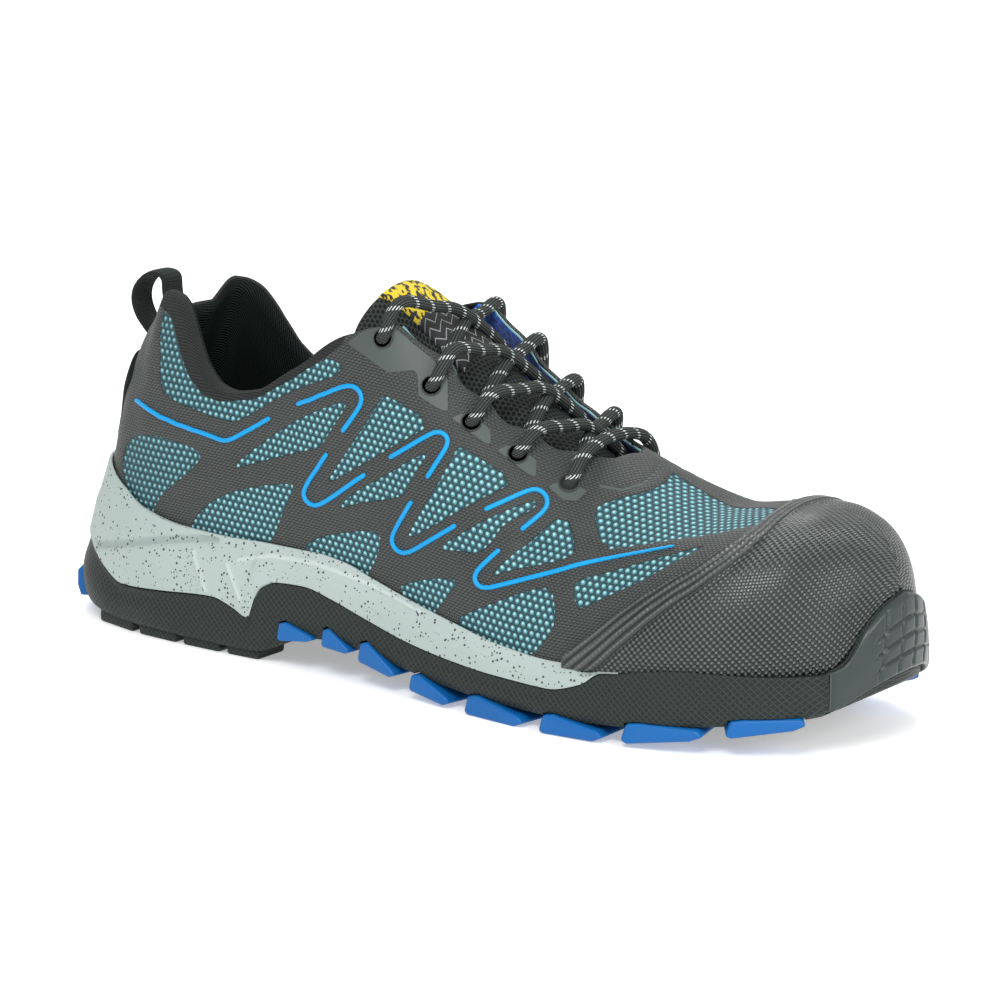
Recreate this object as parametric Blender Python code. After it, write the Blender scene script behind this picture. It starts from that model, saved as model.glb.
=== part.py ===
"""A safety sneaker for the right foot: padded low-cut upper, toe cap, heel counter, tongue, laces,
speckled midsole and lugged outsole.

The frame is in metres, +X towards the toe, +Y towards the inner side of the foot, +Z up.
The origin lies on the floor under the heel's flat rest. Tables hold shares of the sizes named above them.
"""

import math

import bmesh
import bpy
import numpy as np

MM = 0.001

# Sizes of the last that the upper is drawn over
LAST_LENGTH = 287 * MM
LAST_BALL_HALF = 51 * MM
INSTEP_HEIGHT = 124 * MM
HEEL_SEAT = 26 * MM

# Sizes of the sole: how far it stands out past the last at the heel, toe and ball, and its height at the side
HEEL_FLARE = 8 * MM
TOE_FLARE = 5 * MM
BALL_FLARE = 3.2 * MM
SIDE_STACK = 39 * MM
REST_SETBACK = 55 * MM
SOLE_LENGTH = HEEL_FLARE + LAST_LENGTH + TOE_FLARE
SOLE_BALL_HALF = LAST_BALL_HALF + BALL_FLARE

# Walls and clearances
GAP = 0.3 * MM
UPPER_WALL = 2.4 * MM
COLLAR_PAD = 6.5 * MM
TOE_CAP_WALL = 1.3 * MM
CAP_GAP = 0.45 * MM
COUNTER_WALL = 1.1 * MM
BUMPER_WALL = 2.0 * MM
INSOLE_THICKNESS = 5.0 * MM
INSOLE_CLEAR = 1.2 * MM
LABEL_WALL = 1.0 * MM
TONGUE_THICKNESS = 6.0 * MM
LACE_DIAMETER = 4.6 * MM
LUG_REACH = 17 * MM
LUG_PROUD = 1.2 * MM

# Last sections, heel to toe. along is a share of LAST_LENGTH, half and bend and ridge of LAST_BALL_HALF,
# crown of INSTEP_HEIGHT, feather of HEEL_SEAT, square is the section's exponent.
LAST_COLUMNS = ("along", "half", "bend", "ridge", "crown", "feather", "square")
LAST = (
    (0.000, 0.000, 0.000, 0.00, 0.210, 1.00, 2.30),
    (0.001, 0.090, 0.000, 0.00, 0.365, 1.00, 2.30),
    (0.003, 0.155, 0.000, 0.00, 0.400, 1.00, 2.30),
    (0.008, 0.245, 0.000, 0.00, 0.440, 1.00, 2.30),
    (0.015, 0.320, 0.000, 0.00, 0.498, 1.00, 2.30),
    (0.025, 0.392, 0.000, 0.00, 0.573, 1.00, 2.30),
    (0.036, 0.452, 0.000, 0.00, 0.660, 1.00, 2.35),
    (0.047, 0.500, 0.000, 0.00, 0.742, 1.00, 2.40),
    (0.058, 0.535, 0.000, 0.00, 0.800, 1.00, 2.40),
    (0.075, 0.570, 0.000, 0.00, 0.865, 1.00, 2.40),
    (0.100, 0.605, -0.005, 0.00, 0.990, 1.00, 2.40),
    (0.146, 0.640, -0.015, 0.00, 1.050, 1.00, 2.40),
    (0.200, 0.670, -0.028, 0.00, 1.000, 1.00, 2.40),
    (0.250, 0.685, -0.040, 0.01, 0.990, 0.98, 2.40),
    (0.300, 0.692, -0.050, 0.02, 1.040, 0.96, 2.55),
    (0.365, 0.705, -0.060, 0.04, 1.075, 0.92, 3.00),
    (0.413, 0.730, -0.060, 0.05, 1.040, 0.88, 3.15),
    (0.475, 0.780, -0.060, 0.06, 0.920, 0.82, 2.80),
    (0.530, 0.835, -0.060, 0.06, 0.805, 0.76, 2.45),
    (0.585, 0.895, -0.055, 0.06, 0.722, 0.69, 2.15),
    (0.640, 0.950, -0.050, 0.06, 0.662, 0.63, 1.80),
    (0.700, 0.990, -0.040, 0.06, 0.607, 0.60, 1.72),
    (0.760, 1.000, -0.025, 0.06, 0.553, 0.60, 1.95),
    (0.805, 0.985, -0.012, 0.06, 0.526, 0.62, 2.25),
    (0.860, 0.930, 0.000, 0.05, 0.543, 0.67, 2.45),
    (0.912, 0.790, 0.010, 0.04, 0.545, 0.74, 2.45),
    (0.945, 0.655, 0.018, 0.03, 0.530, 0.80, 2.40),
    (0.973, 0.475, 0.024, 0.02, 0.492, 0.87, 2.35),
    (0.990, 0.300, 0.030, 0.01, 0.435, 0.92, 2.30),
    (1.000, 0.000, 0.035, 0.00, 0.220, 0.96, 2.30),
)

# Sole outline, heel to toe: shares of SOLE_LENGTH and of SOLE_BALL_HALF.
SOLE_COLUMNS = ("along", "half", "bend")
SOLE = (
    (0.000, 0.000, 0.000),
    (0.012, 0.319, 0.000),
    (0.047, 0.526, 0.000),
    (0.090, 0.627, -0.007),
    (0.170, 0.710, -0.018),
    (0.250, 0.720, -0.037),
    (0.330, 0.715, -0.050),
    (0.430, 0.756, -0.055),
    (0.530, 0.849, -0.055),
    (0.630, 0.950, -0.046),
    (0.710, 1.000, -0.035),
    (0.785, 0.996, -0.020),
    (0.850, 0.932, -0.006),
    (0.923, 0.770, 0.011),
    (0.967, 0.544, 0.022),
    (0.990, 0.314, 0.031),
    (1.000, 0.000, 0.037),
)

# Heights along the side, as shares of SIDE_STACK: cup is the midsole's top edge, seam its lower edge on the
# outsole, under the outsole's underside and tread the lowest reach of the lugs.
SIDE_COLUMNS = ("along", "cup", "seam", "under", "tread")
SIDE = (
    (0.000, 1.370, 0.800, 0.240, 0.180),
    (0.030, 1.330, 0.680, 0.130, 0.070),
    (0.070, 1.190, 0.500, 0.085, 0.000),
    (0.110, 1.060, 0.400, 0.080, 0.000),
    (0.170, 0.990, 0.430, 0.080, 0.000),
    (0.240, 0.980, 0.470, 0.080, 0.000),
    (0.268, 0.985, 0.410, 0.080, 0.000),
    (0.286, 0.990, 0.350, 0.085, 0.000),
    (0.297, 0.990, 0.590, 0.090, 0.000),
    (0.325, 0.990, 0.690, 0.190, 0.180),
    (0.360, 0.990, 0.700, 0.280, 0.265),
    (0.400, 0.960, 0.640, 0.300, 0.250),
    (0.440, 0.880, 0.555, 0.280, 0.205),
    (0.500, 0.770, 0.450, 0.215, 0.100),
    (0.560, 0.680, 0.390, 0.165, 0.020),
    (0.620, 0.600, 0.360, 0.140, 0.000),
    (0.690, 0.560, 0.350, 0.135, 0.000),
    (0.730, 0.565, 0.430, 0.135, 0.000),
    (0.752, 0.575, 0.540, 0.140, 0.010),
    (0.770, 0.580, 0.560, 0.147, 0.018),
    (0.800, 0.600, 0.610, 0.165, 0.050),
    (0.850, 0.640, 0.650, 0.215, 0.110),
    (0.910, 0.640, 0.650, 0.270, 0.190),
    (0.960, 0.650, 0.660, 0.325, 0.270),
    (0.975, 0.700, 0.720, 0.355, 0.300),
    (0.988, 0.960, 0.990, 0.410, 0.360),
    (0.997, 1.130, 1.150, 0.450, 0.400),
    (1.000, 1.190, 1.210, 0.460, 0.410),
)
# Shares of SOLE_LENGTH at which the foam ends, and past which the rubber is solid.
FOAM_END = 0.752
RUBBER_SOLID = 0.785
# Share of SOLE_LENGTH over which the back of the sole leans in towards the heel.
HEEL_TAPER = 0.10

# Top line of the upper, heel to throat: along is a share of LAST_LENGTH, turn the angle round the section.
TOP_LINE = (
    (0.058, 90.0),
    (0.062, 78.0),
    (0.074, 65.0),
    (0.103, 55.5),
    (0.130, 47.5),
    (0.152, 38.5),
    (0.168, 34.0),
    (0.190, 31.5),
    (0.215, 31.0),
    (0.250, 33.0),
    (0.290, 34.5),
    (0.323, 36.0),
    (0.354, 39.0),
    (0.382, 42.0),
    (0.405, 46.5),
    (0.430, 52.0),
    (0.455, 56.5),
    (0.485, 59.0),
    (0.538, 60.5),
    (0.597, 63.5),
    (0.640, 67.5),
    (0.674, 76.0),
    (0.688, 90.0),
)
# Share of the outline's run against share of the top line's run, so the ribs stay upright at the ankle.
RIB_LEAN = ((0.0, 0.0), (0.10, 0.16), (0.22, 0.36), (0.36, 0.58), (0.52, 0.78), (0.70, 0.92), (1.0, 1.0))

# Shoe ring: stations from heel to toe on each side, closer at the ends and at the heel breast.
STATIONS = 30
BREAST_STATIONS = (0.262, 0.286, 0.297)
BAND_STATIONS = (0.735, 0.760, 0.785)
TIP_STATIONS = (0.985, 0.9955)

# Edge of the toe cap: along is a share of LAST_LENGTH, turn the angle round the section.
TOE_CAP_EDGE = ((0.655, 0.0), (0.700, 20.0), (0.760, 42.0), (0.810, 65.0), (0.835, 90.0))
# Toe bumper: half width, how far its middle stands out and how far its lower edge arches up.
BUMPER_HALF = 27.5 * MM
BUMPER_PROUD = 0.9 * MM
BUMPER_LIFT = 4.5 * MM
# Heel counter: how far it stops under the top line and over the midsole's cup, and its half width.
COUNTER_DROP = 11.2 * MM
COUNTER_LIFT = 4.65 * MM
COUNTER_HALF = 17 * MM


def smooth_table(rows, columns):
    """Interpolates the rows with a shape-keeping cubic over an angle that rounds both ends of the shoe."""
    data = np.array(rows, float)
    turn = np.arccos(1 - 2 * data[:, 0])
    step = np.diff(turn)
    tables = {}
    for index, name in enumerate(columns[1:], 1):
        value = data[:, index]
        slope = np.diff(value) / step
        tangent = np.zeros(len(turn))
        same = slope[:-1] * slope[1:] > 0
        first = 2 * step[1:] + step[:-1]
        second = step[1:] + 2 * step[:-1]
        tangent[1:-1][same] = ((first + second) / (first / np.where(slope[:-1] == 0, 1, slope[:-1])
                               + second / np.where(slope[1:] == 0, 1, slope[1:])))[same]
        tangent[0], tangent[-1] = slope[0], slope[-1]
        tables[name] = (turn, value, tangent)
    return tables


def look_up(tables, name, along):
    """Value of a named column at a share of the length."""
    turn, value, tangent = tables[name]
    at = np.arccos(np.clip(1 - 2 * np.asarray(along, float), -1, 1))
    cell = np.clip(np.searchsorted(turn, at) - 1, 0, len(turn) - 2)
    step = turn[cell + 1] - turn[cell]
    t = np.clip((at - turn[cell]) / step, 0, 1)
    return ((1 + 2 * t) * (1 - t) ** 2 * value[cell] + t * (1 - t) ** 2 * step * tangent[cell]
            + t * t * (3 - 2 * t) * value[cell + 1] + t * t * (t - 1) * step * tangent[cell + 1])


LAST_TABLE = smooth_table(LAST, LAST_COLUMNS)
SOLE_TABLE = smooth_table(SOLE, SOLE_COLUMNS)
SIDE_TABLE = smooth_table(SIDE, SIDE_COLUMNS)
LAST_START = HEEL_FLARE - REST_SETBACK


def last_values(along):
    """Section sizes of the last at a share of its length, in metres."""
    return {
        "half": look_up(LAST_TABLE, "half", along) * LAST_BALL_HALF,
        "bend": look_up(LAST_TABLE, "bend", along) * LAST_BALL_HALF,
        "ridge": look_up(LAST_TABLE, "ridge", along) * LAST_BALL_HALF,
        "crown": look_up(LAST_TABLE, "crown", along) * INSTEP_HEIGHT,
        "feather": look_up(LAST_TABLE, "feather", along) * HEEL_SEAT,
        "square": look_up(LAST_TABLE, "square", along),
    }


def last_height(x, y):
    """Height of the last's outer surface over a point of the plan."""
    size = last_values(np.clip((x - LAST_START) / LAST_LENGTH, 0, 1))
    offset = y - size["bend"] - size["ridge"]
    reach = np.maximum(size["half"] + np.where(offset < 0, size["ridge"], -size["ridge"]), 1e-6)
    share = np.clip(np.abs(offset) / reach, 0, 1)
    arch = (1 - share ** size["square"]) ** (1 / size["square"])
    return size["feather"] + (size["crown"] - size["feather"]) * arch


def last_plan(along, turn, side):
    """Plan position of a point turned up the section: 0 degrees at the outline, 90 at the ridge."""
    size = last_values(along)
    reach = size["half"] - side * size["ridge"]
    spread = np.cos(np.radians(turn)).clip(0, 1) ** (2 / size["square"])
    y = size["bend"] + size["ridge"] + side * reach * spread
    return np.stack([LAST_START + along * LAST_LENGTH, y], -1)


def last_outline(along, side):
    size = last_values(along)
    return np.stack([LAST_START + along * LAST_LENGTH, size["bend"] + side * size["half"]], -1)


def sole_outline(along, side):
    half = look_up(SOLE_TABLE, "half", along) * SOLE_BALL_HALF
    bend = look_up(SOLE_TABLE, "bend", along) * SOLE_BALL_HALF
    return np.stack([-REST_SETBACK + along * SOLE_LENGTH, bend + side * half], -1)


def side_height(name, along):
    return look_up(SIDE_TABLE, name, along) * SIDE_STACK


def run_of(points):
    """Share of a polyline's length at each of its points."""
    run = np.concatenate([[0], np.cumsum(np.linalg.norm(np.diff(points, axis=0), axis=1))])
    return run / run[-1]


def ring_stations(count=STATIONS, extra=BREAST_STATIONS + BAND_STATIONS + TIP_STATIONS):
    """Shares of the length at which each side of the shoe is cut, heel to toe."""
    even = (1 - np.cos(np.linspace(0, math.pi, count + 1))) / 2
    near = np.abs(even[:, None] - np.array(extra)[None, :]).min(axis=1) < 0.006
    kept = even[~near | (even == 0) | (even == 1)]
    return np.unique(np.concatenate([kept, extra]))


def around(stations):
    """The closed ring: lateral side heel to toe, then medial side back to the heel."""
    along = np.concatenate([stations, stations[-2:0:-1]])
    side = np.concatenate([-np.ones(len(stations)), np.ones(len(stations) - 2)])
    return along, side


FINE = np.linspace(0, 1, 1201)
OUTLINE_RUN = run_of(last_outline((1 - np.cos(math.pi * FINE)) / 2, -1.0))
TOP_ROWS = np.array(TOP_LINE)
TOP_RUN = run_of(last_plan(TOP_ROWS[:, 0], TOP_ROWS[:, 1], -1.0))


def rib_ends(along, side):
    """Foot of each rib on the outline, and its head on the top line, both in plan."""
    foot = last_outline(along, side)
    turn = np.arccos(np.clip(1 - 2 * along, -1, 1)) / math.pi
    run = np.interp(np.interp(turn, FINE, OUTLINE_RUN), *np.array(RIB_LEAN).T)
    head_along = np.interp(run, TOP_RUN, TOP_ROWS[:, 0])
    head_turn = np.interp(run, TOP_RUN, TOP_ROWS[:, 1])
    return foot, last_plan(head_along, head_turn, side)


SAMPLES = 240


def fine_ribs(along, side):
    """Each rib finely sampled from the outline to the top line, as an array of ribs by samples by 3."""
    foot, head = rib_ends(along, side)
    step = 1 - np.cos(np.linspace(0, math.pi / 2, SAMPLES))
    plan = foot[:, None] + (head - foot)[:, None] * step[None, :, None]
    height = last_height(plan[..., 0], plan[..., 1])
    return np.concatenate([plan, height[..., None]], -1)


def resample(ribs, low, high, rows):
    """Even points along each rib between two shares of its run, as rows by ribs by 3."""
    found = np.zeros((rows, len(ribs), 3))
    for i, rib in enumerate(ribs):
        run = run_of(rib)
        wanted = np.linspace(low[i], high[i], rows)
        for axis in range(3):
            found[:, i, axis] = np.interp(wanted, run, rib[:, axis])
    return found


def rib_share_at(ribs, reached):
    """Share of each rib's run where a test first turns true along it."""
    found = np.zeros(len(ribs))
    for i, rib in enumerate(ribs):
        met = reached[i]
        found[i] = run_of(rib)[np.argmax(met)] if met.any() else 1.0
    return found


def grid_normals(grid, closed=True):
    """Outward normals of rows by ribs by 3."""
    up = np.gradient(grid, axis=0)
    if closed:
        along = np.roll(grid, -1, axis=1) - np.roll(grid, 1, axis=1)
    else:
        along = np.gradient(grid, axis=1)
    normal = np.cross(along, up)
    return normal / np.maximum(np.linalg.norm(normal, axis=-1, keepdims=True), 1e-12)


def upper_wall_at(share_up, head_along):
    """Thickness of the upper: thin over the foot, padded towards the collar, thin again along the throat."""
    pad = np.clip((share_up - 0.45) / 0.4, 0, 1)
    pad = pad * pad * (3 - 2 * pad)
    ankle = np.clip((PAD_END - head_along) / PAD_FADE, 0, 1)
    return UPPER_WALL + (COLLAR_PAD - UPPER_WALL) * pad * ankle


def through(knots, steps):
    """A smooth run of points through the knots."""
    knots = np.array(knots)
    run = np.linspace(0, len(knots) - 1, steps + 1)
    cell = np.clip(run.astype(int), 0, len(knots) - 2)
    t = (run - cell)[:, None]
    slope = np.gradient(knots, axis=0)
    start = (1 + 2 * t) * (1 - t) ** 2 * knots[cell] + t * (1 - t) ** 2 * slope[cell]
    return start + t * t * (3 - 2 * t) * knots[cell + 1] + t * t * (t - 1) * slope[cell + 1]


def new_object(name, vertices, faces, material):
    mesh = bpy.data.meshes.new(name)
    body = bmesh.new()
    points = [body.verts.new(v) for v in vertices]
    for face in faces:
        corners = [points[i] for i in dict.fromkeys(face)]
        if len(corners) > 2:
            body.faces.new(corners)
    bmesh.ops.remove_doubles(body, verts=body.verts, dist=0.00001)
    bmesh.ops.dissolve_degenerate(body, edges=body.edges, dist=0.00001)
    bmesh.ops.recalc_face_normals(body, faces=body.faces)
    body.to_mesh(mesh)
    body.free()
    obj = bpy.data.objects.new(name, mesh)
    bpy.context.scene.collection.objects.link(obj)
    mesh.materials.append(material)
    mesh.shade_smooth()
    mesh.set_sharp_from_angle(angle=math.radians(40))
    return obj


def ring_faces(rows, count):
    faces = []
    for r in range(rows - 1):
        for i in range(count):
            j = (i + 1) % count
            faces.append((r * count + i, r * count + j, (r + 1) * count + j, (r + 1) * count + i))
    return faces


def cap_faces(first, count):
    """Cross strips that close a ring whose lateral and medial stations face each other."""
    half = count // 2
    faces = []
    for i in range(half):
        left, left_next = first + i, first + i + 1
        right = first + (count - i) % count
        right_next = first + count - i - 1
        faces.append((left, left_next, right_next, right))
    return faces


def ring_solid(name, rows, material, closed):
    """A solid from rings of points: closed joins the last ring to the first, otherwise both are capped."""
    rows = np.array(rows)
    count = rows.shape[1]
    faces = ring_faces(len(rows), count)
    if closed:
        last = (len(rows) - 1) * count
        for i in range(count):
            j = (i + 1) % count
            faces.append((last + i, last + j, j, i))
    else:
        faces += cap_faces(0, count)
        faces += cap_faces((len(rows) - 1) * count, count)
    return new_object(name, rows.reshape(-1, 3), faces, material)


def patch_solid(name, inner, outer, material):
    """A curved plate between two open grids of the same size, rows by columns by 3."""
    rows, columns = inner.shape[:2]
    count = rows * columns
    faces = []
    for r in range(rows - 1):
        for i in range(columns - 1):
            quad = (r * columns + i, r * columns + i + 1, (r + 1) * columns + i + 1, (r + 1) * columns + i)
            faces.append(quad)
            faces.append(tuple(count + k for k in quad[::-1]))
    rim = ([(0, i) for i in range(columns)] + [(r, columns - 1) for r in range(1, rows)]
           + [(rows - 1, i) for i in range(columns - 2, -1, -1)] + [(r, 0) for r in range(rows - 2, 0, -1)])
    for (r, i), (s, j) in zip(rim, rim[1:] + rim[:1]):
        a, b = r * columns + i, s * columns + j
        faces.append((a, b, count + b, count + a))
    return new_object(name, np.concatenate([inner.reshape(-1, 3), outer.reshape(-1, 3)]), faces, material)


def material(name, colour, roughness, metallic=0.0):
    made = bpy.data.materials.new(name)
    made.use_nodes = True
    shader = made.node_tree.nodes["Principled BSDF"]
    shader.inputs["Base Color"].default_value = (*colour, 1)
    shader.inputs["Roughness"].default_value = roughness
    shader.inputs["Metallic"].default_value = metallic
    return made


UPPER_ROWS = 12
LINING_ROWS = 6
# Share of LAST_LENGTH at which the collar's padding ends.
PAD_END = 0.400
PAD_FADE = 0.10


def build_upper(paint):
    along, side = around(ring_stations())
    ribs = fine_ribs(along, side)
    outer = resample(ribs, np.zeros(len(ribs)), np.ones(len(ribs)), UPPER_ROWS)
    normal = grid_normals(outer)
    share = np.linspace(0, 1, UPPER_ROWS)[:, None]
    head_along = (outer[-1, :, 0] - LAST_START) / LAST_LENGTH
    wall = upper_wall_at(share, head_along[None, :])[..., None]
    inner = outer - normal * wall
    inner[0, :, 2] = outer[0, :, 2]
    edge, lining_edge = outer[-1], inner[-1]
    middle = (edge + lining_edge) / 2
    rise = outer[-1] - outer[-2]
    rise = rise / np.linalg.norm(rise, axis=-1, keepdims=True)
    crest = middle + rise * wall[-1] / 2
    shoulders = [middle + (edge - middle) * 0.8 + rise * wall[-1] * 0.32, crest,
                 middle + (lining_edge - middle) * 0.8 + rise * wall[-1] * 0.32]
    picked = np.linspace(UPPER_ROWS - 1, 0, LINING_ROWS + 1).round().astype(int)
    rows = list(outer) + shoulders + [inner[k] for k in picked]
    ring_solid("upper", rows, paint, closed=True)
    return inner


def wall_at_height(ribs, height):
    """Plan position of each rib's outer wall at a height, and its outline below the feather line."""
    found = np.zeros((len(ribs), 2))
    for i, rib in enumerate(ribs):
        top = int(np.argmax(rib[:, 2]))
        for axis in range(2):
            found[i, axis] = np.interp(height[i], rib[: top + 1, 2], rib[: top + 1, axis])
    return found


class SoleFrame:
    """Stations of the sole: places a point by its share from the upper's wall out to the sole's outline."""

    def __init__(self):
        self.along, self.side = around(ring_stations())
        self.ribs = fine_ribs(self.along, self.side)
        self.foot = last_outline(self.along, self.side)
        self.spread = sole_outline(self.along, self.side) - self.foot
        self.reach = np.linalg.norm(self.spread, axis=-1)
        self.clear = (GAP * 1.3) / self.reach
        self.seam = side_height("seam", self.along)
        self.under = side_height("under", self.along)
        tip = sole_outline(np.array([1.0]), 1.0)[0, 1]
        toe = np.clip((BUMPER_HALF + 1.5 * MM - np.abs(self.foot[:, 1] - tip)) / (1.5 * MM), 0, 1)
        self.toe = toe * (self.along > 0.9)
        self.heel_lean = np.clip((HEEL_TAPER - self.along) / HEEL_TAPER, 0, 1) ** 0.7
        deepen = np.clip((self.along - BREAST_STATIONS[1]) / (BREAST_STATIONS[2] - BREAST_STATIONS[1]), 0, 1)
        deep = RIM_SHARE * (1 - deepen) - deepen * (WALL_REACH / self.reach - 1)
        self.deep = deep * (1 - self.heel_lean) - self.heel_lean * 0.25
        inside = (self.foot[:, 0] + self.spread[:, 0] * np.minimum(self.deep, 0) - LAST_START) / LAST_LENGTH
        lowest = np.minimum(last_values(self.along)["feather"], last_values(inside)["feather"])
        self.feather = np.where(self.along > 0.8, lowest, last_values(self.along)["feather"])
        self.step = np.minimum(self.feather - 1.5 * MM, self.seam - 0.8 * MM)
        solid = self.along > RUBBER_SOLID - 0.001
        self.floor = np.where(solid, self.step - 1.2 * MM, self.under + SOLE_FLOOR)
        self.cup = np.maximum(side_height("cup", self.along), self.seam + 2 * GAP)

    def toe_share(self, height):
        """Share of the way out at which the rand stands under the bumper, at a height."""
        rise = np.clip((height - self.under) / (self.seam - self.under), 0, 1)
        lean = np.where(rise < 0.5, 1.0, 1.0 - 0.10 * (2 * rise - 1))
        return lean - self.toe * (BUMPER_WALL + GAP) / self.reach

    def ring(self, share, height):
        height = height + 0 * self.along
        plan = wall_at_height(self.ribs, height) + self.spread * (share + 0 * self.along)[:, None]
        return np.concatenate([plan, height[:, None]], -1)


RIM_SHARE = 0.42
SOLE_FLOOR = 5.5 * MM
# Thickness of the outsole's wall where the side lugs are set into it.
WALL_REACH = 15 * MM


def build_midsole(sole, paint):
    """Foam body: fills the outsole's tray, shows as a band, and cups the upper up to its top edge."""
    floor = sole.floor + GAP
    bed = sole.feather - GAP
    step = sole.step + 0.2 * MM + GAP
    cup = sole.cup
    ledge = np.minimum(sole.seam + GAP, cup - 0.2 * MM)
    heel = sole.heel_lean
    tuck = RIM_SHARE - 2 * sole.clear
    rows = [
        sole.ring(sole.deep - 2 * sole.clear - 0.12, floor),
        sole.ring(sole.deep - 2 * sole.clear, floor + 1.0 * MM),
        sole.ring(sole.deep - 2 * sole.clear, step),
        sole.ring(tuck, np.minimum(step + 0.2 * MM, ledge - 0.1 * MM)),
        sole.ring(tuck, ledge),
        sole.ring(0.985 - 0.26 * heel, ledge),
        sole.ring(1.02 - 0.57 * heel, ledge + (cup - ledge) * 0.42),
        sole.ring(0.90 - 0.60 * heel, ledge + (cup - ledge) * 0.60),
        sole.ring(0.30 - 0.12 * heel, cup),
        sole.ring(sole.clear, cup),
        sole.ring(sole.clear, bed + (cup - bed) * 0.66),
        sole.ring(sole.clear, bed + (cup - bed) * 0.33),
        sole.ring(sole.clear, bed),
    ]
    body = ring_solid("midsole", rows, paint, closed=False)
    front = -REST_SETBACK + FOAM_END * SOLE_LENGTH
    far = 2 * SOLE_LENGTH
    corners = [(front, -far), (far, -far), (far, far), (front, far)]
    cutter = block(corners, [-far] * 4, [far] * 4)
    boolean(body, joined("cutter", [cutter], paint), "DIFFERENCE")
    return body


def lug_prism(profile, origin, forward, inward, depth, grow=0.0):
    """A tread lug: a side profile of (forward, height) pairs pushed inward from the sole's outline."""
    profile = np.array(profile)
    if grow:
        centre = profile.mean(axis=0)
        away = profile - centre
        profile = centre + away * (1 + grow / np.linalg.norm(away, axis=1, keepdims=True))
    start, end = (-grow - LUG_PROUD, depth + grow)
    points = []
    for push in (start, end):
        for ahead, height in profile:
            plan = origin + forward * ahead + inward * push
            points.append((plan[0], plan[1], height))
    count = len(profile)
    faces = [tuple(range(count)), tuple(range(2 * count - 1, count - 1, -1))]
    faces += [(i, (i + 1) % count, count + (i + 1) % count, count + i) for i in range(count)]
    return np.array(points), faces


# Side lugs, heel to toe. start and end are shares of SOLE_LENGTH, rise is the rear top corner and drop the
# front one, as shares of SIDE_STACK over the tread line, reach a share of LUG_REACH.
SIDE_LUGS = (
    (0.329, 0.376, 0.160, 0.05, 0.5),
    (0.388, 0.426, 0.160, 0.05, 0.5),
    (0.438, 0.490, 0.180, 0.06, 0.6),
    (0.510, 0.566, 0.155, 0.07, 0.8),
    (0.587, 0.664, 0.170, 0.09, 1.0),
    (0.684, 0.758, 0.165, 0.09, 1.0),
    (0.778, 0.862, 0.175, 0.10, 1.0),
    (0.882, 0.950, 0.150, 0.10, 0.8),
)


def side_lug_shape(row, side, grow=0.0):
    start, end, rise, drop, reach = row
    ends = sole_outline(np.array([start, end]), float(side))
    forward = ends[1] - ends[0]
    length = np.linalg.norm(forward)
    forward = forward / length
    inward = np.array([forward[1], -forward[0]]) * side
    base = side_height("tread", np.array([start + 0.01, end - 0.01]))
    low_rear, low_front = base
    profile = [
        (0.0, low_rear + 0.6 * MM),
        (0.08 * length, low_rear),
        (0.84 * length, low_front),
        (1.0 * length, low_front + drop * SIDE_STACK * 0.45),
        (0.93 * length, low_front + drop * SIDE_STACK),
        (0.22 * length, low_rear + rise * SIDE_STACK),
        (0.06 * length, low_rear + rise * SIDE_STACK * 0.9),
    ]
    return lug_prism(profile, ends[0], forward, inward, LUG_REACH * reach, grow)


# Middle lugs of the tread: along and across are shares of SOLE_LENGTH and SOLE_BALL_HALF, as are the sizes.
MIDDLE_LUGS = (
    (0.183, 0.00, 0.050, 0.42),
    (0.475, -0.22, 0.040, 0.30),
    (0.475, 0.22, 0.040, 0.30),
    (0.555, -0.28, 0.046, 0.36),
    (0.555, 0.20, 0.046, 0.36),
    (0.640, -0.30, 0.050, 0.42),
    (0.640, 0.24, 0.050, 0.42),
    (0.725, -0.31, 0.050, 0.42),
    (0.725, 0.27, 0.050, 0.42),
    (0.810, -0.27, 0.046, 0.38),
    (0.810, 0.25, 0.046, 0.38),
    (0.890, -0.20, 0.040, 0.32),
    (0.890, 0.22, 0.040, 0.32),
)
HEEL_LUG_EDGES = (0.058, 0.126, 0.190, 0.250, 0.302)
HEEL_GROOVE = 2.6 * MM
HEEL_LUG_DEPTH = 0.42


def block(points_low, height_low, height_high):
    """A prism over four plan corners; the heights may differ corner by corner."""
    points = [(p[0], p[1], h) for p, h in zip(points_low, height_low)]
    points += [(p[0], p[1], h) for p, h in zip(points_low, height_high)]
    faces = [(0, 1, 2, 3), (7, 6, 5, 4)] + [(i, (i + 1) % 4, 4 + (i + 1) % 4, 4 + i) for i in range(4)]
    return np.array(points), faces


def boolean(target, other, operation):
    """Applies one exact Boolean and removes the other object."""
    modifier = target.modifiers.new(operation.lower(), "BOOLEAN")
    modifier.operation = operation
    modifier.object = other
    modifier.solver = "EXACT"
    evaluated = target.evaluated_get(bpy.context.evaluated_depsgraph_get())
    mesh = bpy.data.meshes.new_from_object(evaluated)
    target.modifiers.clear()
    old = target.data
    target.data = mesh
    bpy.data.meshes.remove(old)
    bpy.data.objects.remove(other)


def joined(name, shapes, material):
    """One object from several separate shapes."""
    points, faces = [], []
    for shape_points, shape_faces in shapes:
        faces += [tuple(len(points) + i for i in face) for face in shape_faces]
        points += list(shape_points)
    return new_object(name, points, faces, material)


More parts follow.
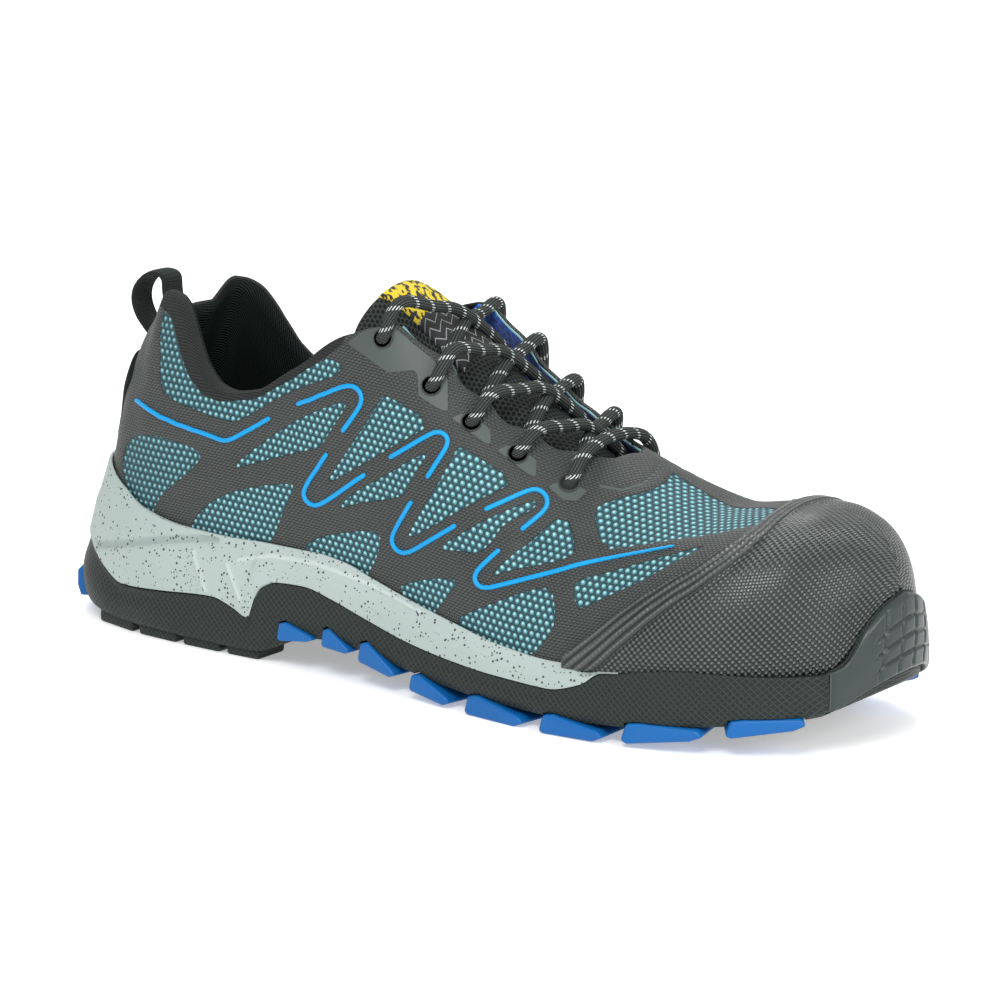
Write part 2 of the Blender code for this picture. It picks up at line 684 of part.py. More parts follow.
def build_outsole(sole, paint):
    """Rubber tray: its rim shows under the midsole and rises round the toe, and it carries the tread."""
    floor = sole.floor
    heel = sole.heel_lean
    fore = np.clip((sole.along - BAND_STATIONS[1]) / (RUBBER_SOLID - BAND_STATIONS[1]), 0, 1)
    rim = RIM_SHARE * (1 - fore) + sole.clear * fore
    top = sole.seam
    step = np.minimum(sole.step, top - 0.6 * MM)
    waist = sole.under + (top - sole.under) * 0.5
    high = top - 0.3 * MM
    rows = [
        sole.ring(sole.deep - 0.12, floor),
        sole.ring(sole.deep, floor + 1.0 * MM),
        sole.ring(sole.deep, step),
        sole.ring(rim, step + 0.2 * MM),
        sole.ring(rim, step + 0.2 * MM + (high - step - 0.2 * MM) * 0.35),
        sole.ring(rim, step + 0.2 * MM + (high - step - 0.2 * MM) * 0.70),
        sole.ring(rim, high),
        sole.ring(sole.toe_share(top) - 0.03 - 0.22 * heel, top),
        sole.ring(sole.toe_share(waist) + 0.03 * (1 - sole.toe), waist),
        sole.ring(sole.toe_share(sole.under) - 0.10 * (1 - sole.toe), sole.under + 1.5 * MM),
        sole.ring(sole.toe_share(sole.under) - 0.38, sole.under),
    ]
    body = ring_solid("outsole", rows, paint, closed=False)
    shapes = []
    for along, across, length, width in MIDDLE_LUGS:
        x = -REST_SETBACK + along * SOLE_LENGTH
        y = across * SOLE_BALL_HALF
        ahead, aside = length / 2 * SOLE_LENGTH, width / 2 * SOLE_BALL_HALF
        front = aside * 0.8
        corners = [(x - ahead, y - aside), (x + ahead, y - front)]
        corners += [(x + ahead, y + front), (x - ahead, y + aside)]
        share = np.array([along - length / 2, along + length / 2, along + length / 2, along - length / 2])
        shapes.append(block(corners, side_height("tread", share), side_height("under", share) + 1.5 * MM))
    for start, end in zip(HEEL_LUG_EDGES, HEEL_LUG_EDGES[1:]):
        share = np.array([start + HEEL_GROOVE / SOLE_LENGTH / 2, end - HEEL_GROOVE / SOLE_LENGTH / 2])
        for side in (-1.0, 1.0):
            outline = sole_outline(share, side)
            centre = sole_outline(share, side) * [1, 0]
            outer = centre + (outline - centre) * 0.94
            inner = centre + (outline - centre) * (1 - HEEL_LUG_DEPTH)
            corners = [outer[0], outer[1], inner[1], inner[0]]
            shapes.append(block(corners, [0.0] * 4, side_height("under", share[[0, 1, 1, 0]]) + 1.0 * MM))
    boolean(body, joined("tread", shapes, paint), "UNION")
    pockets = [side_lug_shape(row, side, GAP) for row in SIDE_LUGS for side in (-1, 1)]
    pockets.append(heel_lug_shape(GAP))
    for pocket in pockets:
        boolean(body, joined("pocket", [pocket], paint), "DIFFERENCE")
    return body


HEEL_LUG_HALF = 19 * MM
HEEL_LUG_DEEP = 6 * MM
HEEL_LUG_LOW = 4.5 * MM
HEEL_LUG_HIGH = 15.5 * MM
HEEL_LUG_PROUD = 2.2 * MM
HEEL_LUG_COLUMNS = 9
# How far the insert's lower and upper edges are bevelled back.
HEEL_LUG_BEVEL = 3.5 * MM
HEEL_LUG_BROW = 2.5 * MM


def heel_lug_shape(grow=0.0):
    """The coloured insert wrapped round the back of the heel."""
    along = (1 - np.cos(np.linspace(0, 0.6, 400))) / 2
    outline = sole_outline(along, 1.0)
    width = HEEL_LUG_HALF + grow
    across = np.linspace(-width, width, HEEL_LUG_COLUMNS)
    back = np.interp(np.abs(across), outline[:, 1], outline[:, 0])
    ahead = np.gradient(back, across)
    out = np.stack([-np.ones(len(across)), ahead], -1)
    out = out / np.linalg.norm(out, axis=-1, keepdims=True)
    proud = HEEL_LUG_PROUD
    profile = (
        (proud + grow, HEEL_LUG_LOW + HEEL_LUG_BEVEL),
        (proud * 0.5 + grow, HEEL_LUG_LOW - grow),
        (-HEEL_LUG_DEEP - grow, HEEL_LUG_LOW - grow),
        (-HEEL_LUG_DEEP - grow, HEEL_LUG_HIGH + grow),
        (grow - 0.5 * MM, HEEL_LUG_HIGH + grow),
        (proud + grow, HEEL_LUG_HIGH - HEEL_LUG_BROW),
    )
    points = []
    for x, y, (nx, ny) in zip(back, across, out):
        points += [(x + nx * push, y + ny * push, height) for push, height in profile]
    count = len(profile)
    faces = [tuple(range(count)), tuple(len(points) - 1 - k for k in range(count))]
    for c in range(len(across) - 1):
        a, b = c * count, (c + 1) * count
        faces += [(a + i, a + (i + 1) % count, b + (i + 1) % count, b + i) for i in range(count)]
    return np.array(points), faces


def build_lugs(paint):
    for index, row in enumerate(SIDE_LUGS, 1):
        for side, word in ((-1, "lateral"), (1, "medial")):
            points, faces = side_lug_shape(row, side)
            new_object(f"lug_{word}_{index}", points, faces, paint)
    points, faces = heel_lug_shape()
    new_object("lug_heel", points, faces, paint)


def offset_grid(grid, normal, distance):
    return grid + normal * distance


def edge_share(ribs, side):
    """Share of each rib's run at which it leaves the toe cap through the cap's rear edge."""
    low_edge = np.array(TOE_CAP_EDGE)
    along = (ribs[..., 0] - LAST_START) / LAST_LENGTH
    size = last_values(np.clip(along, 0, 1))
    offset = (ribs[..., 1] - size["bend"] - size["ridge"]) * side[:, None]
    reach = np.maximum(size["half"] - side[:, None] * size["ridge"], 1e-6)
    turn = np.degrees(np.arccos(np.clip(offset / reach, 0, 1) ** (size["square"] / 2)))
    return rib_share_at(ribs, along < np.interp(turn, low_edge[:, 1], low_edge[:, 0]))


def upper_shell():
    """The upper's outer facets: rows of points, their outward normals, and the fine ribs behind them."""
    along, side = around(ring_stations())
    ribs = fine_ribs(along, side)
    outer = resample(ribs, np.zeros(len(ribs)), np.ones(len(ribs)), UPPER_ROWS)
    return along, side, ribs, outer, grid_normals(outer)


def on_shell(rows, share):
    """Points on the shell's facets at a share of each rib's run."""
    place = np.clip(share, 0, 1) * (UPPER_ROWS - 1)
    cell = np.clip(place.astype(int), 0, UPPER_ROWS - 2)
    t = (place - cell)[..., None]
    rib = np.arange(rows.shape[1])[None, :]
    return rows[cell, rib] * (1 - t) + rows[cell + 1, rib] * t


def build_toe_cap(paint):
    """Protective cap over the toe: a plate that follows the upper, from the rubber to its seam."""
    along, side, ribs, outer, normal = upper_shell()
    high = edge_share(ribs, side)
    foam = np.where(along < RUBBER_SOLID, side_height("cup", along), 0)
    rim = np.maximum(side_height("seam", along), foam) + 2 * GAP
    low = rib_share_at(ribs, ribs[..., 2] > rim[:, None])
    covered = np.where((high - low > 0.04) & (along > 0.5))[0]
    share = np.clip(np.linspace(0, 1, UPPER_ROWS)[:, None], low[None, :], high[None, :])
    grid = on_shell(outer, share)[:, covered]
    lift = on_shell(normal, share)[:, covered]
    return patch_solid("toe_cap", grid + lift * CAP_GAP, grid + lift * (CAP_GAP + TOE_CAP_WALL), paint)


# Heel counter, foot to head: shares of its height and of COUNTER_HALF.
COUNTER_SHAPE = ((0.0, 0.55), (0.18, 0.60), (0.41, 0.72), (0.65, 0.95), (0.85, 0.90), (1.0, 0.55))
COUNTER_COLUMNS = 13
COUNTER_ROWS = 9


def heel_depth(y, z):
    """Distance along the shoe at which the last's back reaches a height, found by halving."""
    low = np.full(y.shape, LAST_START)
    high = np.full(y.shape, LAST_START + 0.16 * LAST_LENGTH)
    for _ in range(40):
        middle = (low + high) / 2
        above = last_height(middle, y) > z
        high = np.where(above, middle, high)
        low = np.where(above, low, middle)
    return (low + high) / 2


def heel_crest():
    """Distance along the shoe and height of the top line at the middle of the heel."""
    back = LAST_START + TOP_ROWS[0, 0] * LAST_LENGTH
    return back, last_height(np.array([back]), np.array([0.0]))[0]


def build_counter(paint):
    shape = np.array(COUNTER_SHAPE)
    foot = side_height("cup", 0.0) + COUNTER_LIFT
    head = heel_crest()[1] - COUNTER_DROP
    height = np.linspace(0, 1, COUNTER_ROWS)
    half = np.interp(height, shape[:, 0], shape[:, 1]) * COUNTER_HALF
    y = half[:, None] * np.linspace(1, -1, COUNTER_COLUMNS)[None, :]
    z = (foot + height * (head - foot))[:, None] + 0 * y
    grid = np.stack([heel_depth(y, z), y, z], -1)
    normal = grid_normals(grid, closed=False)
    inner = offset_grid(grid, normal, GAP)
    outer = offset_grid(grid, normal, GAP + COUNTER_WALL)
    return patch_solid("heel_counter", inner, outer, paint)


BUMPER_ROWS = 6


def build_bumper(sole, paint):
    """Rubber shield at the front of the toe, laid over the outsole's rand."""
    tip = sole_outline(np.array([1.0]), 1.0)[0, 1]
    across = np.abs(sole.foot[:, 1] - tip)
    first = np.where((across < BUMPER_HALF) & (sole.along > 0.9))[0]
    share = np.clip(across[first] / BUMPER_HALF, 0, 1)
    low = sole.under[first] + 0.8 * MM + BUMPER_LIFT * (1 - share ** 2)
    high = sole.seam[first] - 0.4 * MM
    wall = BUMPER_WALL * (1 - 0.75 * share ** 3) + BUMPER_PROUD * (1 - share ** 2)
    inner, outer = [], []
    for step in np.linspace(0, 1, BUMPER_ROWS):
        height = low + (high - low) * step
        full = np.zeros(len(sole.along))
        full[first] = height
        back = sole.toe_share(full)
        inner.append(sole.ring(back + (GAP / sole.reach), full)[first])
        lean = np.zeros(len(sole.along))
        lean[first] = (wall * (1 - 0.35 * step ** 2)) / sole.reach[first]
        outer.append(sole.ring(back + (GAP / sole.reach) + lean, full)[first])
    return patch_solid("toe_bumper", np.array(inner), np.array(outer), paint)


def build_insole(inner_wall, paint):
    """Footbed inside the upper, resting on the midsole."""
    rows = []
    for lift, shrink in ((0.0, 0.0), (0.75, 0.0), (1.0, 2.2 * MM)):
        plan = inner_wall[0] * [1, 1, 0]
        along = np.roll(plan, -1, axis=0) - np.roll(plan, 1, axis=0)
        inward = np.stack([-along[:, 1], along[:, 0], 0 * along[:, 0]], -1)
        inward = inward / np.linalg.norm(inward, axis=-1, keepdims=True)
        ring = plan + inward * (INSOLE_CLEAR + shrink)
        feather = last_values(np.clip((ring[:, 0] - LAST_START) / LAST_LENGTH, 0, 1))["feather"]
        ring[:, 2] = feather + GAP + lift * INSOLE_THICKNESS
        rows.append(ring)
    return ring_solid("insole", rows, paint, closed=False)


# Tongue, toe end to top: along and rise are shares of LAST_LENGTH and INSTEP_HEIGHT at the middle. half, drop
# and sweep are shares of TONGUE_HALF: how far the sides reach, fall and lie back. thick is a share too.
TONGUE = (
    (0.682, 0.530, 0.52, 0.20, 0.00, 0.45),
    (0.635, 0.598, 0.68, 0.32, 0.00, 0.55),
    (0.580, 0.672, 0.78, 0.42, 0.00, 0.70),
    (0.530, 0.745, 0.82, 0.46, 0.00, 0.85),
    (0.480, 0.820, 0.82, 0.46, 0.02, 1.00),
    (0.435, 0.895, 0.79, 0.45, 0.10, 1.00),
    (0.402, 0.948, 0.75, 0.44, 0.24, 0.95),
    (0.372, 0.970, 0.71, 0.42, 0.40, 0.80),
)
TONGUE_HALF = 31 * MM
TONGUE_ACROSS = 12
TONGUE_DOWN = 15
# Row of the tongue at which its label starts, above the first crossing of the laces.
LABEL_FIRST_ROW = 10


def tongue_rows(count):
    """The tongue's table, smoothed to an even number of rows."""
    return through(TONGUE, count - 1)

def tongue_grid(count, across):
    """Top surface of the tongue, rows from the toe end up by columns from the lateral side."""
    rows = tongue_rows(count)
    share = np.linspace(-1, 1, across)[None, :]
    along, rise, half, drop, sweep = (rows[:, k, None] for k in range(5))
    x = LAST_START + along * LAST_LENGTH - sweep * TONGUE_HALF * share ** 2
    y = share * half * TONGUE_HALF + 0 * x
    z = rise * INSTEP_HEIGHT - drop * TONGUE_HALF * share ** 2
    return np.stack([x, y, z], -1), rows[:, 5]


def build_tongue(paint, label_paint):
    top, thick = tongue_grid(TONGUE_DOWN, TONGUE_ACROSS + 1)
    normal = -grid_normals(top, closed=False)
    normal = normal * np.sign(normal[..., 2:3])
    share = np.linspace(-1, 1, TONGUE_ACROSS + 1)[None, :, None]
    depth = TONGUE_THICKNESS * thick[:, None, None] * (1 - 0.6 * share ** 4)
    under = top - normal * depth
    body = patch_solid("tongue", under, top, paint)
    label = top[LABEL_FIRST_ROW:, 3:-3]
    lift = normal[LABEL_FIRST_ROW:, 3:-3]
    patch_solid("tongue_label", label + lift * GAP, label + lift * (GAP + LABEL_WALL), label_paint)
    return body


# Pull loop at the heel, heel side up and over: ahead of the heel's back and up, as shares of LOOP_REACH,
# measured from the collar's crest at the back.
LOOP_PATH = (
    (-0.385, -1.25),
    (-0.74, -0.92),
    (-1.10, -0.50),
    (-1.28, 0.00),
    (-1.20, 0.46),
    (-0.86, 0.86),
    (-0.42, 1.04),
    (-0.06, 0.94),
    (0.01, 0.50),
    (0.10, -0.11),
)
LOOP_REACH = 8.8 * MM
LOOP_WIDTH = 10 * MM
LOOP_WALL = 1.6 * MM
LOOP_STEPS = 16


def strap_solid(name, path, normal, width, wall, paint):
    """A flat strap along a path in the shoe's middle plane."""
    rows = []
    for point, out in zip(path, normal):
        ring = []
        for across, lift in ((-0.5, 0.0), (0.5, 0.0), (0.5, 1.0), (-0.5, 1.0)):
            ring.append((point[0] + out[0] * lift * wall, across * width, point[1] + out[1] * lift * wall))
        rows.append(ring)
    points = np.array(rows).reshape(-1, 3)
    faces = [(0, 1, 2, 3), tuple(len(points) - 4 + k for k in (3, 2, 1, 0))]
    for r in range(len(rows) - 1):
        for k in range(4):
            j = (k + 1) % 4
            faces.append((r * 4 + k, (r + 1) * 4 + k, (r + 1) * 4 + j, r * 4 + j))
    return new_object(name, points, faces, paint)


def build_pull_loop(paint):
    back, crest = heel_crest()
    knots = np.array(LOOP_PATH) * LOOP_REACH + [back, crest + COLLAR_PAD / 2]
    path = through(knots, LOOP_STEPS)
    along = np.gradient(path, axis=0)
    out = np.stack([-along[:, 1], along[:, 0]], -1)
    out = out / np.linalg.norm(out, axis=-1, keepdims=True)
    return strap_solid("pull_loop", path, out, LOOP_WIDTH, LOOP_WALL, paint)


# Eyelets, top to toe: along is a share of LAST_LENGTH, out a share of the ankle's half width.
EYELETS = (
    (0.424, 0.94),
    (0.486, 0.92),
    (0.535, 0.88),
    (0.590, 0.82),
    (0.649, 0.73),
)
EYELET_HALF = 34 * MM
LACE_SIDES = 6
LACE_STEPS = 8


def eyelet_point(index, side):
    along, out = EYELETS[index]
    x = LAST_START + along * LAST_LENGTH
    y = side * out * EYELET_HALF
    return np.array([x, y, last_height(np.array([x]), np.array([y]))[0]])


def tube(path, radius):
    """Vertices and faces of a closed tube along a path."""
    path = np.array(path)
    along = np.gradient(path, axis=0)
    along = along / np.linalg.norm(along, axis=-1, keepdims=True)
    up = np.array([0.0, 0.0, 1.0])
    points, faces = [], []
    for point, ahead in zip(path, along):
        across = np.cross(ahead, up)
        across = across / np.linalg.norm(across)
        top = np.cross(across, ahead)
        for k in range(LACE_SIDES):
            angle = 2 * math.pi * (k + 0.5) / LACE_SIDES
            points.append(point + radius * (math.cos(angle) * across + math.sin(angle) * top))
    for r in range(len(path) - 1):
        for k in range(LACE_SIDES):
            j = (k + 1) % LACE_SIDES
            a, b = r * LACE_SIDES, (r + 1) * LACE_SIDES
            faces.append((a + k, a + j, b + j, b + k))
    faces.append(tuple(range(LACE_SIDES))[::-1])
    faces.append(tuple(len(points) - LACE_SIDES + k for k in range(LACE_SIDES)))
    return points, faces


def tongue_height(x, y):
    """Height of the tongue's top surface over a point near its middle."""
    rows = tongue_rows(60)
    along = (x - LAST_START) / LAST_LENGTH
    values = [np.interp(-along, -rows[:, 0], rows[:, k]) for k in range(5)]
    share = y / (values[2] * TONGUE_HALF)
    along += values[4] * TONGUE_HALF * share ** 2 / LAST_LENGTH
    values = [np.interp(-along, -rows[:, 0], rows[:, k]) for k in range(5)]
    return values[1] * INSTEP_HEIGHT - values[3] * TONGUE_HALF * share ** 2


def surface_normal(x, y):
    """Outward normal of the last's surface over a point."""
    step = 0.5 * MM
    xs = np.array([x + step, x - step, x, x])
    ys = np.array([y, y, y + step, y - step])
    z = last_height(xs, ys)
    normal = np.array([z[1] - z[0], z[3] - z[2], 2 * step])
    return normal / np.linalg.norm(normal)


def throat_half(x):
    """Half width of the throat's opening at a distance along the shoe."""
    plan = last_plan(TOP_ROWS[:, 0], TOP_ROWS[:, 1], 1.0)[12:]
    return np.interp(x, plan[:, 0], plan[:, 1])


def over_eyestay(index, side):
    """Two knots of a lace that leaves an eyelet: over the eyelet, and over the throat's edge."""
    start = eyelet_point(index, side)
    edge_y = side * (throat_half(start[0]) + 1.0 * MM)
    edge = np.array([start[0], edge_y, last_height(np.array([start[0]]), np.array([edge_y]))[0]])
    return [start + surface_normal(*start[:2]) * LACE_STAND,
            edge + surface_normal(*edge[:2]) * (LACE_STAND + 1.2 * MM)]


def lace_run(index, side):
    """A lace from an eyelet over the eyestay and the tongue to the next eyelet's side of the throat."""
    knots = over_eyestay(index, side)
    start, target = eyelet_point(index, side), eyelet_point(index + 1, -side)
    middle = (start + target) / 2
    middle[1] = 0.0
    middle[2] = tongue_height(middle[0], 0.0) + LACE_STAND + LACE_LIFT
    x = middle[0] + (target[0] - middle[0]) * 0.5
    y = -side * (throat_half(x) - LACE_DIAMETER)
    last = np.array([x, y, tongue_height(x, y) + LACE_STAND + LACE_LIFT * 0.75])
    knots[1][0] += (target[0] - start[0]) * 0.15
    between = (knots[1] + middle) / 2
    between[2] = max(between[2], tongue_height(between[0], between[1]) + LACE_STAND + LACE_LIFT)
    return through(knots + [between, middle, last], LACE_STEPS)


LACE_STAND = LACE_DIAMETER / 2 + 0.5 * MM
LACE_LIFT = 2.8 * MM


def build_laces(paint):
    radius = LACE_DIAMETER / 2
    for index in range(len(EYELETS) - 1):
        first = joined(f"lace_cross_{index + 1}", [tube(lace_run(index, -1), radius)], paint)
        second = joined("second", [tube(lace_run(index, 1), radius)], paint)
        boolean(first, second, "UNION")
    last = len(EYELETS) - 1
    near, far = over_eyestay(last, -1), over_eyestay(last, 1)
    x = near[0][0]
    middle = np.array([x, 0.0, max(tongue_height(x, 0.0), near[1][2]) + LACE_STAND])
    path = through(near + [middle] + far[::-1], LACE_STEPS)
    joined("lace_bar", [tube(path, radius)], paint)


def main():
    for obj in list(bpy.data.objects):
        bpy.data.objects.remove(obj)
    mesh_paint = material("upper_fabric", (0.05, 0.12, 0.14), 0.75)
    foam_paint = material("midsole_foam", (0.62, 0.66, 0.66), 0.6)
    rubber_paint = material("outsole_rubber", (0.045, 0.05, 0.048), 0.55)
    bumper_paint = material("bumper_rubber", (0.06, 0.065, 0.07), 0.45)
    blue_paint = material("blue_rubber", (0.02, 0.10, 0.42), 0.5)
    insole_paint = material("insole_fabric", (0.02, 0.02, 0.022), 0.9)
    cap_paint = material("toe_cap_leather", (0.03, 0.033, 0.035), 0.5)
    counter_paint = material("counter_plastic", (0.02, 0.022, 0.024), 0.4)
    tongue_paint = material("tongue_fabric", (0.03, 0.032, 0.033), 0.85)
    label_paint = material("label_fabric", (0.35, 0.28, 0.03), 0.7)
    loop_paint = material("webbing", (0.05, 0.055, 0.05), 0.85)
    lace_paint = material("lace", (0.06, 0.07, 0.075), 0.8)
    sole = SoleFrame()
    inner_wall = build_upper(mesh_paint)
    build_midsole(sole, foam_paint)
    build_outsole(sole, rubber_paint)
    build_lugs(blue_paint)
    build_bumper(sole, bumper_paint)
    build_insole(inner_wall, insole_paint)
    build_toe_cap(cap_paint)
    build_counter(counter_paint)
    build_tongue(tongue_paint, label_paint)
    build_pull_loop(loop_paint)
    build_laces(lace_paint)


main()
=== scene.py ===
"""Looks of the safety sneaker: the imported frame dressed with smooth, detailed pieces in the same frame.

Metres, +X towards the toe, +Y towards the inner side of the foot, +Z up. Where a trace holds pixels of the
photograph, it is seen through the camera named below and laid on the upper's own surface.
"""

import math

import bmesh
import bpy
import numpy as np
from mathutils import Matrix, Vector
from mathutils.bvhtree import BVHTree


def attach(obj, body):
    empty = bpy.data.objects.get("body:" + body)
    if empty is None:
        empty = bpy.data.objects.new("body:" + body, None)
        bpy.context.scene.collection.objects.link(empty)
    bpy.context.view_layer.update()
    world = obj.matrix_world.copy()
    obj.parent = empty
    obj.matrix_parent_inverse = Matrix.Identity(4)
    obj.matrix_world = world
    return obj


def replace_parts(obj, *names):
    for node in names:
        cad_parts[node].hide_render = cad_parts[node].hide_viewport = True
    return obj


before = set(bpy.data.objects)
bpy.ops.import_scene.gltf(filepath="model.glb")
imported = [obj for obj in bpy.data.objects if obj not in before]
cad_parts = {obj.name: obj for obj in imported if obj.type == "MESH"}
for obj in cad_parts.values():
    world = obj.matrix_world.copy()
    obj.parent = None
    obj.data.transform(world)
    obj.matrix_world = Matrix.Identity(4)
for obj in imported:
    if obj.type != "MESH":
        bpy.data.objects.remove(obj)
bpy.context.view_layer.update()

MM = 0.001


# Sizes of the last that the upper is drawn over
LAST_LENGTH = 287 * MM
LAST_BALL_HALF = 51 * MM
INSTEP_HEIGHT = 124 * MM
HEEL_SEAT = 26 * MM

# Sizes of the sole: how far it stands out past the last at the heel, toe and ball, and its height at the side
HEEL_FLARE = 8 * MM
TOE_FLARE = 5 * MM
BALL_FLARE = 3.2 * MM
SIDE_STACK = 39 * MM
REST_SETBACK = 55 * MM
SOLE_LENGTH = HEEL_FLARE + LAST_LENGTH + TOE_FLARE
SOLE_BALL_HALF = LAST_BALL_HALF + BALL_FLARE

# Walls and clearances
GAP = 0.3 * MM
UPPER_WALL = 2.4 * MM
COLLAR_PAD = 6.5 * MM
TOE_CAP_WALL = 1.3 * MM
CAP_GAP = 0.45 * MM
COUNTER_WALL = 1.1 * MM
BUMPER_WALL = 2.0 * MM
INSOLE_THICKNESS = 5.0 * MM
INSOLE_CLEAR = 1.2 * MM
LABEL_WALL = 1.0 * MM
TONGUE_THICKNESS = 6.0 * MM
LACE_DIAMETER = 4.6 * MM
LUG_REACH = 17 * MM
LUG_PROUD = 1.2 * MM

# Last sections, heel to toe. along is a share of LAST_LENGTH, half and bend and ridge of LAST_BALL_HALF,
# crown of INSTEP_HEIGHT, feather of HEEL_SEAT, square is the section's exponent.
LAST_COLUMNS = ("along", "half", "bend", "ridge", "crown", "feather", "square")
LAST = (
    (0.000, 0.000, 0.000, 0.00, 0.210, 1.00, 2.30),
    (0.001, 0.090, 0.000, 0.00, 0.365, 1.00, 2.30),
    (0.003, 0.155, 0.000, 0.00, 0.400, 1.00, 2.30),
    (0.008, 0.245, 0.000, 0.00, 0.440, 1.00, 2.30),
    (0.015, 0.320, 0.000, 0.00, 0.498, 1.00, 2.30),
    (0.025, 0.392, 0.000, 0.00, 0.573, 1.00, 2.30),
    (0.036, 0.452, 0.000, 0.00, 0.660, 1.00, 2.35),
    (0.047, 0.500, 0.000, 0.00, 0.742, 1.00, 2.40),
    (0.058, 0.535, 0.000, 0.00, 0.800, 1.00, 2.40),
    (0.075, 0.570, 0.000, 0.00, 0.865, 1.00, 2.40),
    (0.100, 0.605, -0.005, 0.00, 0.990, 1.00, 2.40),
    (0.146, 0.640, -0.015, 0.00, 1.050, 1.00, 2.40),
    (0.200, 0.670, -0.028, 0.00, 1.000, 1.00, 2.40),
    (0.250, 0.685, -0.040, 0.01, 0.990, 0.98, 2.40),
    (0.300, 0.692, -0.050, 0.02, 1.040, 0.96, 2.55),
    (0.365, 0.705, -0.060, 0.04, 1.075, 0.92, 3.00),
    (0.413, 0.730, -0.060, 0.05, 1.040, 0.88, 3.15),
    (0.475, 0.780, -0.060, 0.06, 0.920, 0.82, 2.80),
    (0.530, 0.835, -0.060, 0.06, 0.805, 0.76, 2.45),
    (0.585, 0.895, -0.055, 0.06, 0.722, 0.69, 2.15),
    (0.640, 0.950, -0.050, 0.06, 0.662, 0.63, 1.80),
    (0.700, 0.990, -0.040, 0.06, 0.607, 0.60, 1.72),
    (0.760, 1.000, -0.025, 0.06, 0.553, 0.60, 1.95),
    (0.805, 0.985, -0.012, 0.06, 0.526, 0.62, 2.25),
    (0.860, 0.930, 0.000, 0.05, 0.543, 0.67, 2.45),
    (0.912, 0.790, 0.010, 0.04, 0.545, 0.74, 2.45),
    (0.945, 0.655, 0.018, 0.03, 0.530, 0.80, 2.40),
    (0.973, 0.475, 0.024, 0.02, 0.492, 0.87, 2.35),
    (0.990, 0.300, 0.030, 0.01, 0.435, 0.92, 2.30),
    (1.000, 0.000, 0.035, 0.00, 0.220, 0.96, 2.30),
)

# Sole outline, heel to toe: shares of SOLE_LENGTH and of SOLE_BALL_HALF.
SOLE_COLUMNS = ("along", "half", "bend")
SOLE = (
    (0.000, 0.000, 0.000),
    (0.012, 0.319, 0.000),
    (0.047, 0.526, 0.000),
    (0.090, 0.627, -0.007),
    (0.170, 0.710, -0.018),
    (0.250, 0.720, -0.037),
    (0.330, 0.715, -0.050),
    (0.430, 0.756, -0.055),
    (0.530, 0.849, -0.055),
    (0.630, 0.950, -0.046),
    (0.710, 1.000, -0.035),
    (0.785, 0.996, -0.020),
    (0.850, 0.932, -0.006),
    (0.923, 0.770, 0.011),
    (0.967, 0.544, 0.022),
    (0.990, 0.314, 0.031),
    (1.000, 0.000, 0.037),
)

# Heights along the side, as shares of SIDE_STACK: cup is the midsole's top edge, seam its lower edge on the
# outsole, under the outsole's underside and tread the lowest reach of the lugs.
SIDE_COLUMNS = ("along", "cup", "seam", "under", "tread")
SIDE = (
    (0.000, 1.370, 0.800, 0.240, 0.180),
    (0.030, 1.330, 0.680, 0.130, 0.070),
    (0.070, 1.190, 0.500, 0.085, 0.000),
    (0.110, 1.060, 0.400, 0.080, 0.000),
    (0.170, 0.990, 0.430, 0.080, 0.000),
    (0.240, 0.980, 0.470, 0.080, 0.000),
    (0.268, 0.985, 0.410, 0.080, 0.000),
    (0.286, 0.990, 0.350, 0.085, 0.000),
    (0.297, 0.990, 0.590, 0.090, 0.000),
    (0.325, 0.990, 0.690, 0.190, 0.180),
    (0.360, 0.990, 0.700, 0.280, 0.265),
    (0.400, 0.960, 0.640, 0.300, 0.250),
    (0.440, 0.880, 0.555, 0.280, 0.205),
    (0.500, 0.770, 0.450, 0.215, 0.100),
    (0.560, 0.680, 0.390, 0.165, 0.020),
    (0.620, 0.600, 0.360, 0.140, 0.000),
    (0.690, 0.560, 0.350, 0.135, 0.000),
    (0.730, 0.565, 0.430, 0.135, 0.000),
    (0.752, 0.575, 0.540, 0.140, 0.010),
    (0.770, 0.580, 0.560, 0.147, 0.018),
    (0.800, 0.600, 0.610, 0.165, 0.050),
    (0.850, 0.640, 0.650, 0.215, 0.110),
    (0.910, 0.640, 0.650, 0.270, 0.190),
    (0.960, 0.650, 0.660, 0.325, 0.270),
    (0.975, 0.700, 0.720, 0.355, 0.300),
    (0.988, 0.960, 0.990, 0.410, 0.360),
    (0.997, 1.130, 1.150, 0.450, 0.400),
    (1.000, 1.190, 1.210, 0.460, 0.410),
)
# Shares of SOLE_LENGTH at which the foam ends, from which the rubber's rim closes and past which it is solid.
FOAM_END = 0.752
RIM_CLOSING = 0.760
RUBBER_SOLID = 0.785
# Share of SOLE_LENGTH over which the back of the sole leans in towards the heel.
HEEL_TAPER = 0.10

# Top line of the upper, heel to throat: along is a share of LAST_LENGTH, turn the angle round the section.
TOP_LINE = (
    (0.058, 90.0),
    (0.062, 78.0),
    (0.074, 65.0),
    (0.103, 55.5),
    (0.130, 47.5),
    (0.152, 38.5),
    (0.168, 34.0),
    (0.190, 31.5),
    (0.215, 31.0),
    (0.250, 33.0),
    (0.290, 34.5),
    (0.323, 36.0),
    (0.354, 39.0),
    (0.382, 42.0),
    (0.405, 46.5),
    (0.430, 52.0),
    (0.455, 56.5),
    (0.485, 59.0),
    (0.538, 60.5),
    (0.597, 63.5),
    (0.640, 67.5),
    (0.674, 76.0),
    (0.688, 90.0),
)
# Share of the outline's run against share of the top line's run, so the ribs stay upright at the ankle.
RIB_LEAN = ((0.0, 0.0), (0.10, 0.16), (0.22, 0.36), (0.36, 0.58), (0.52, 0.78), (0.70, 0.92), (1.0, 1.0))

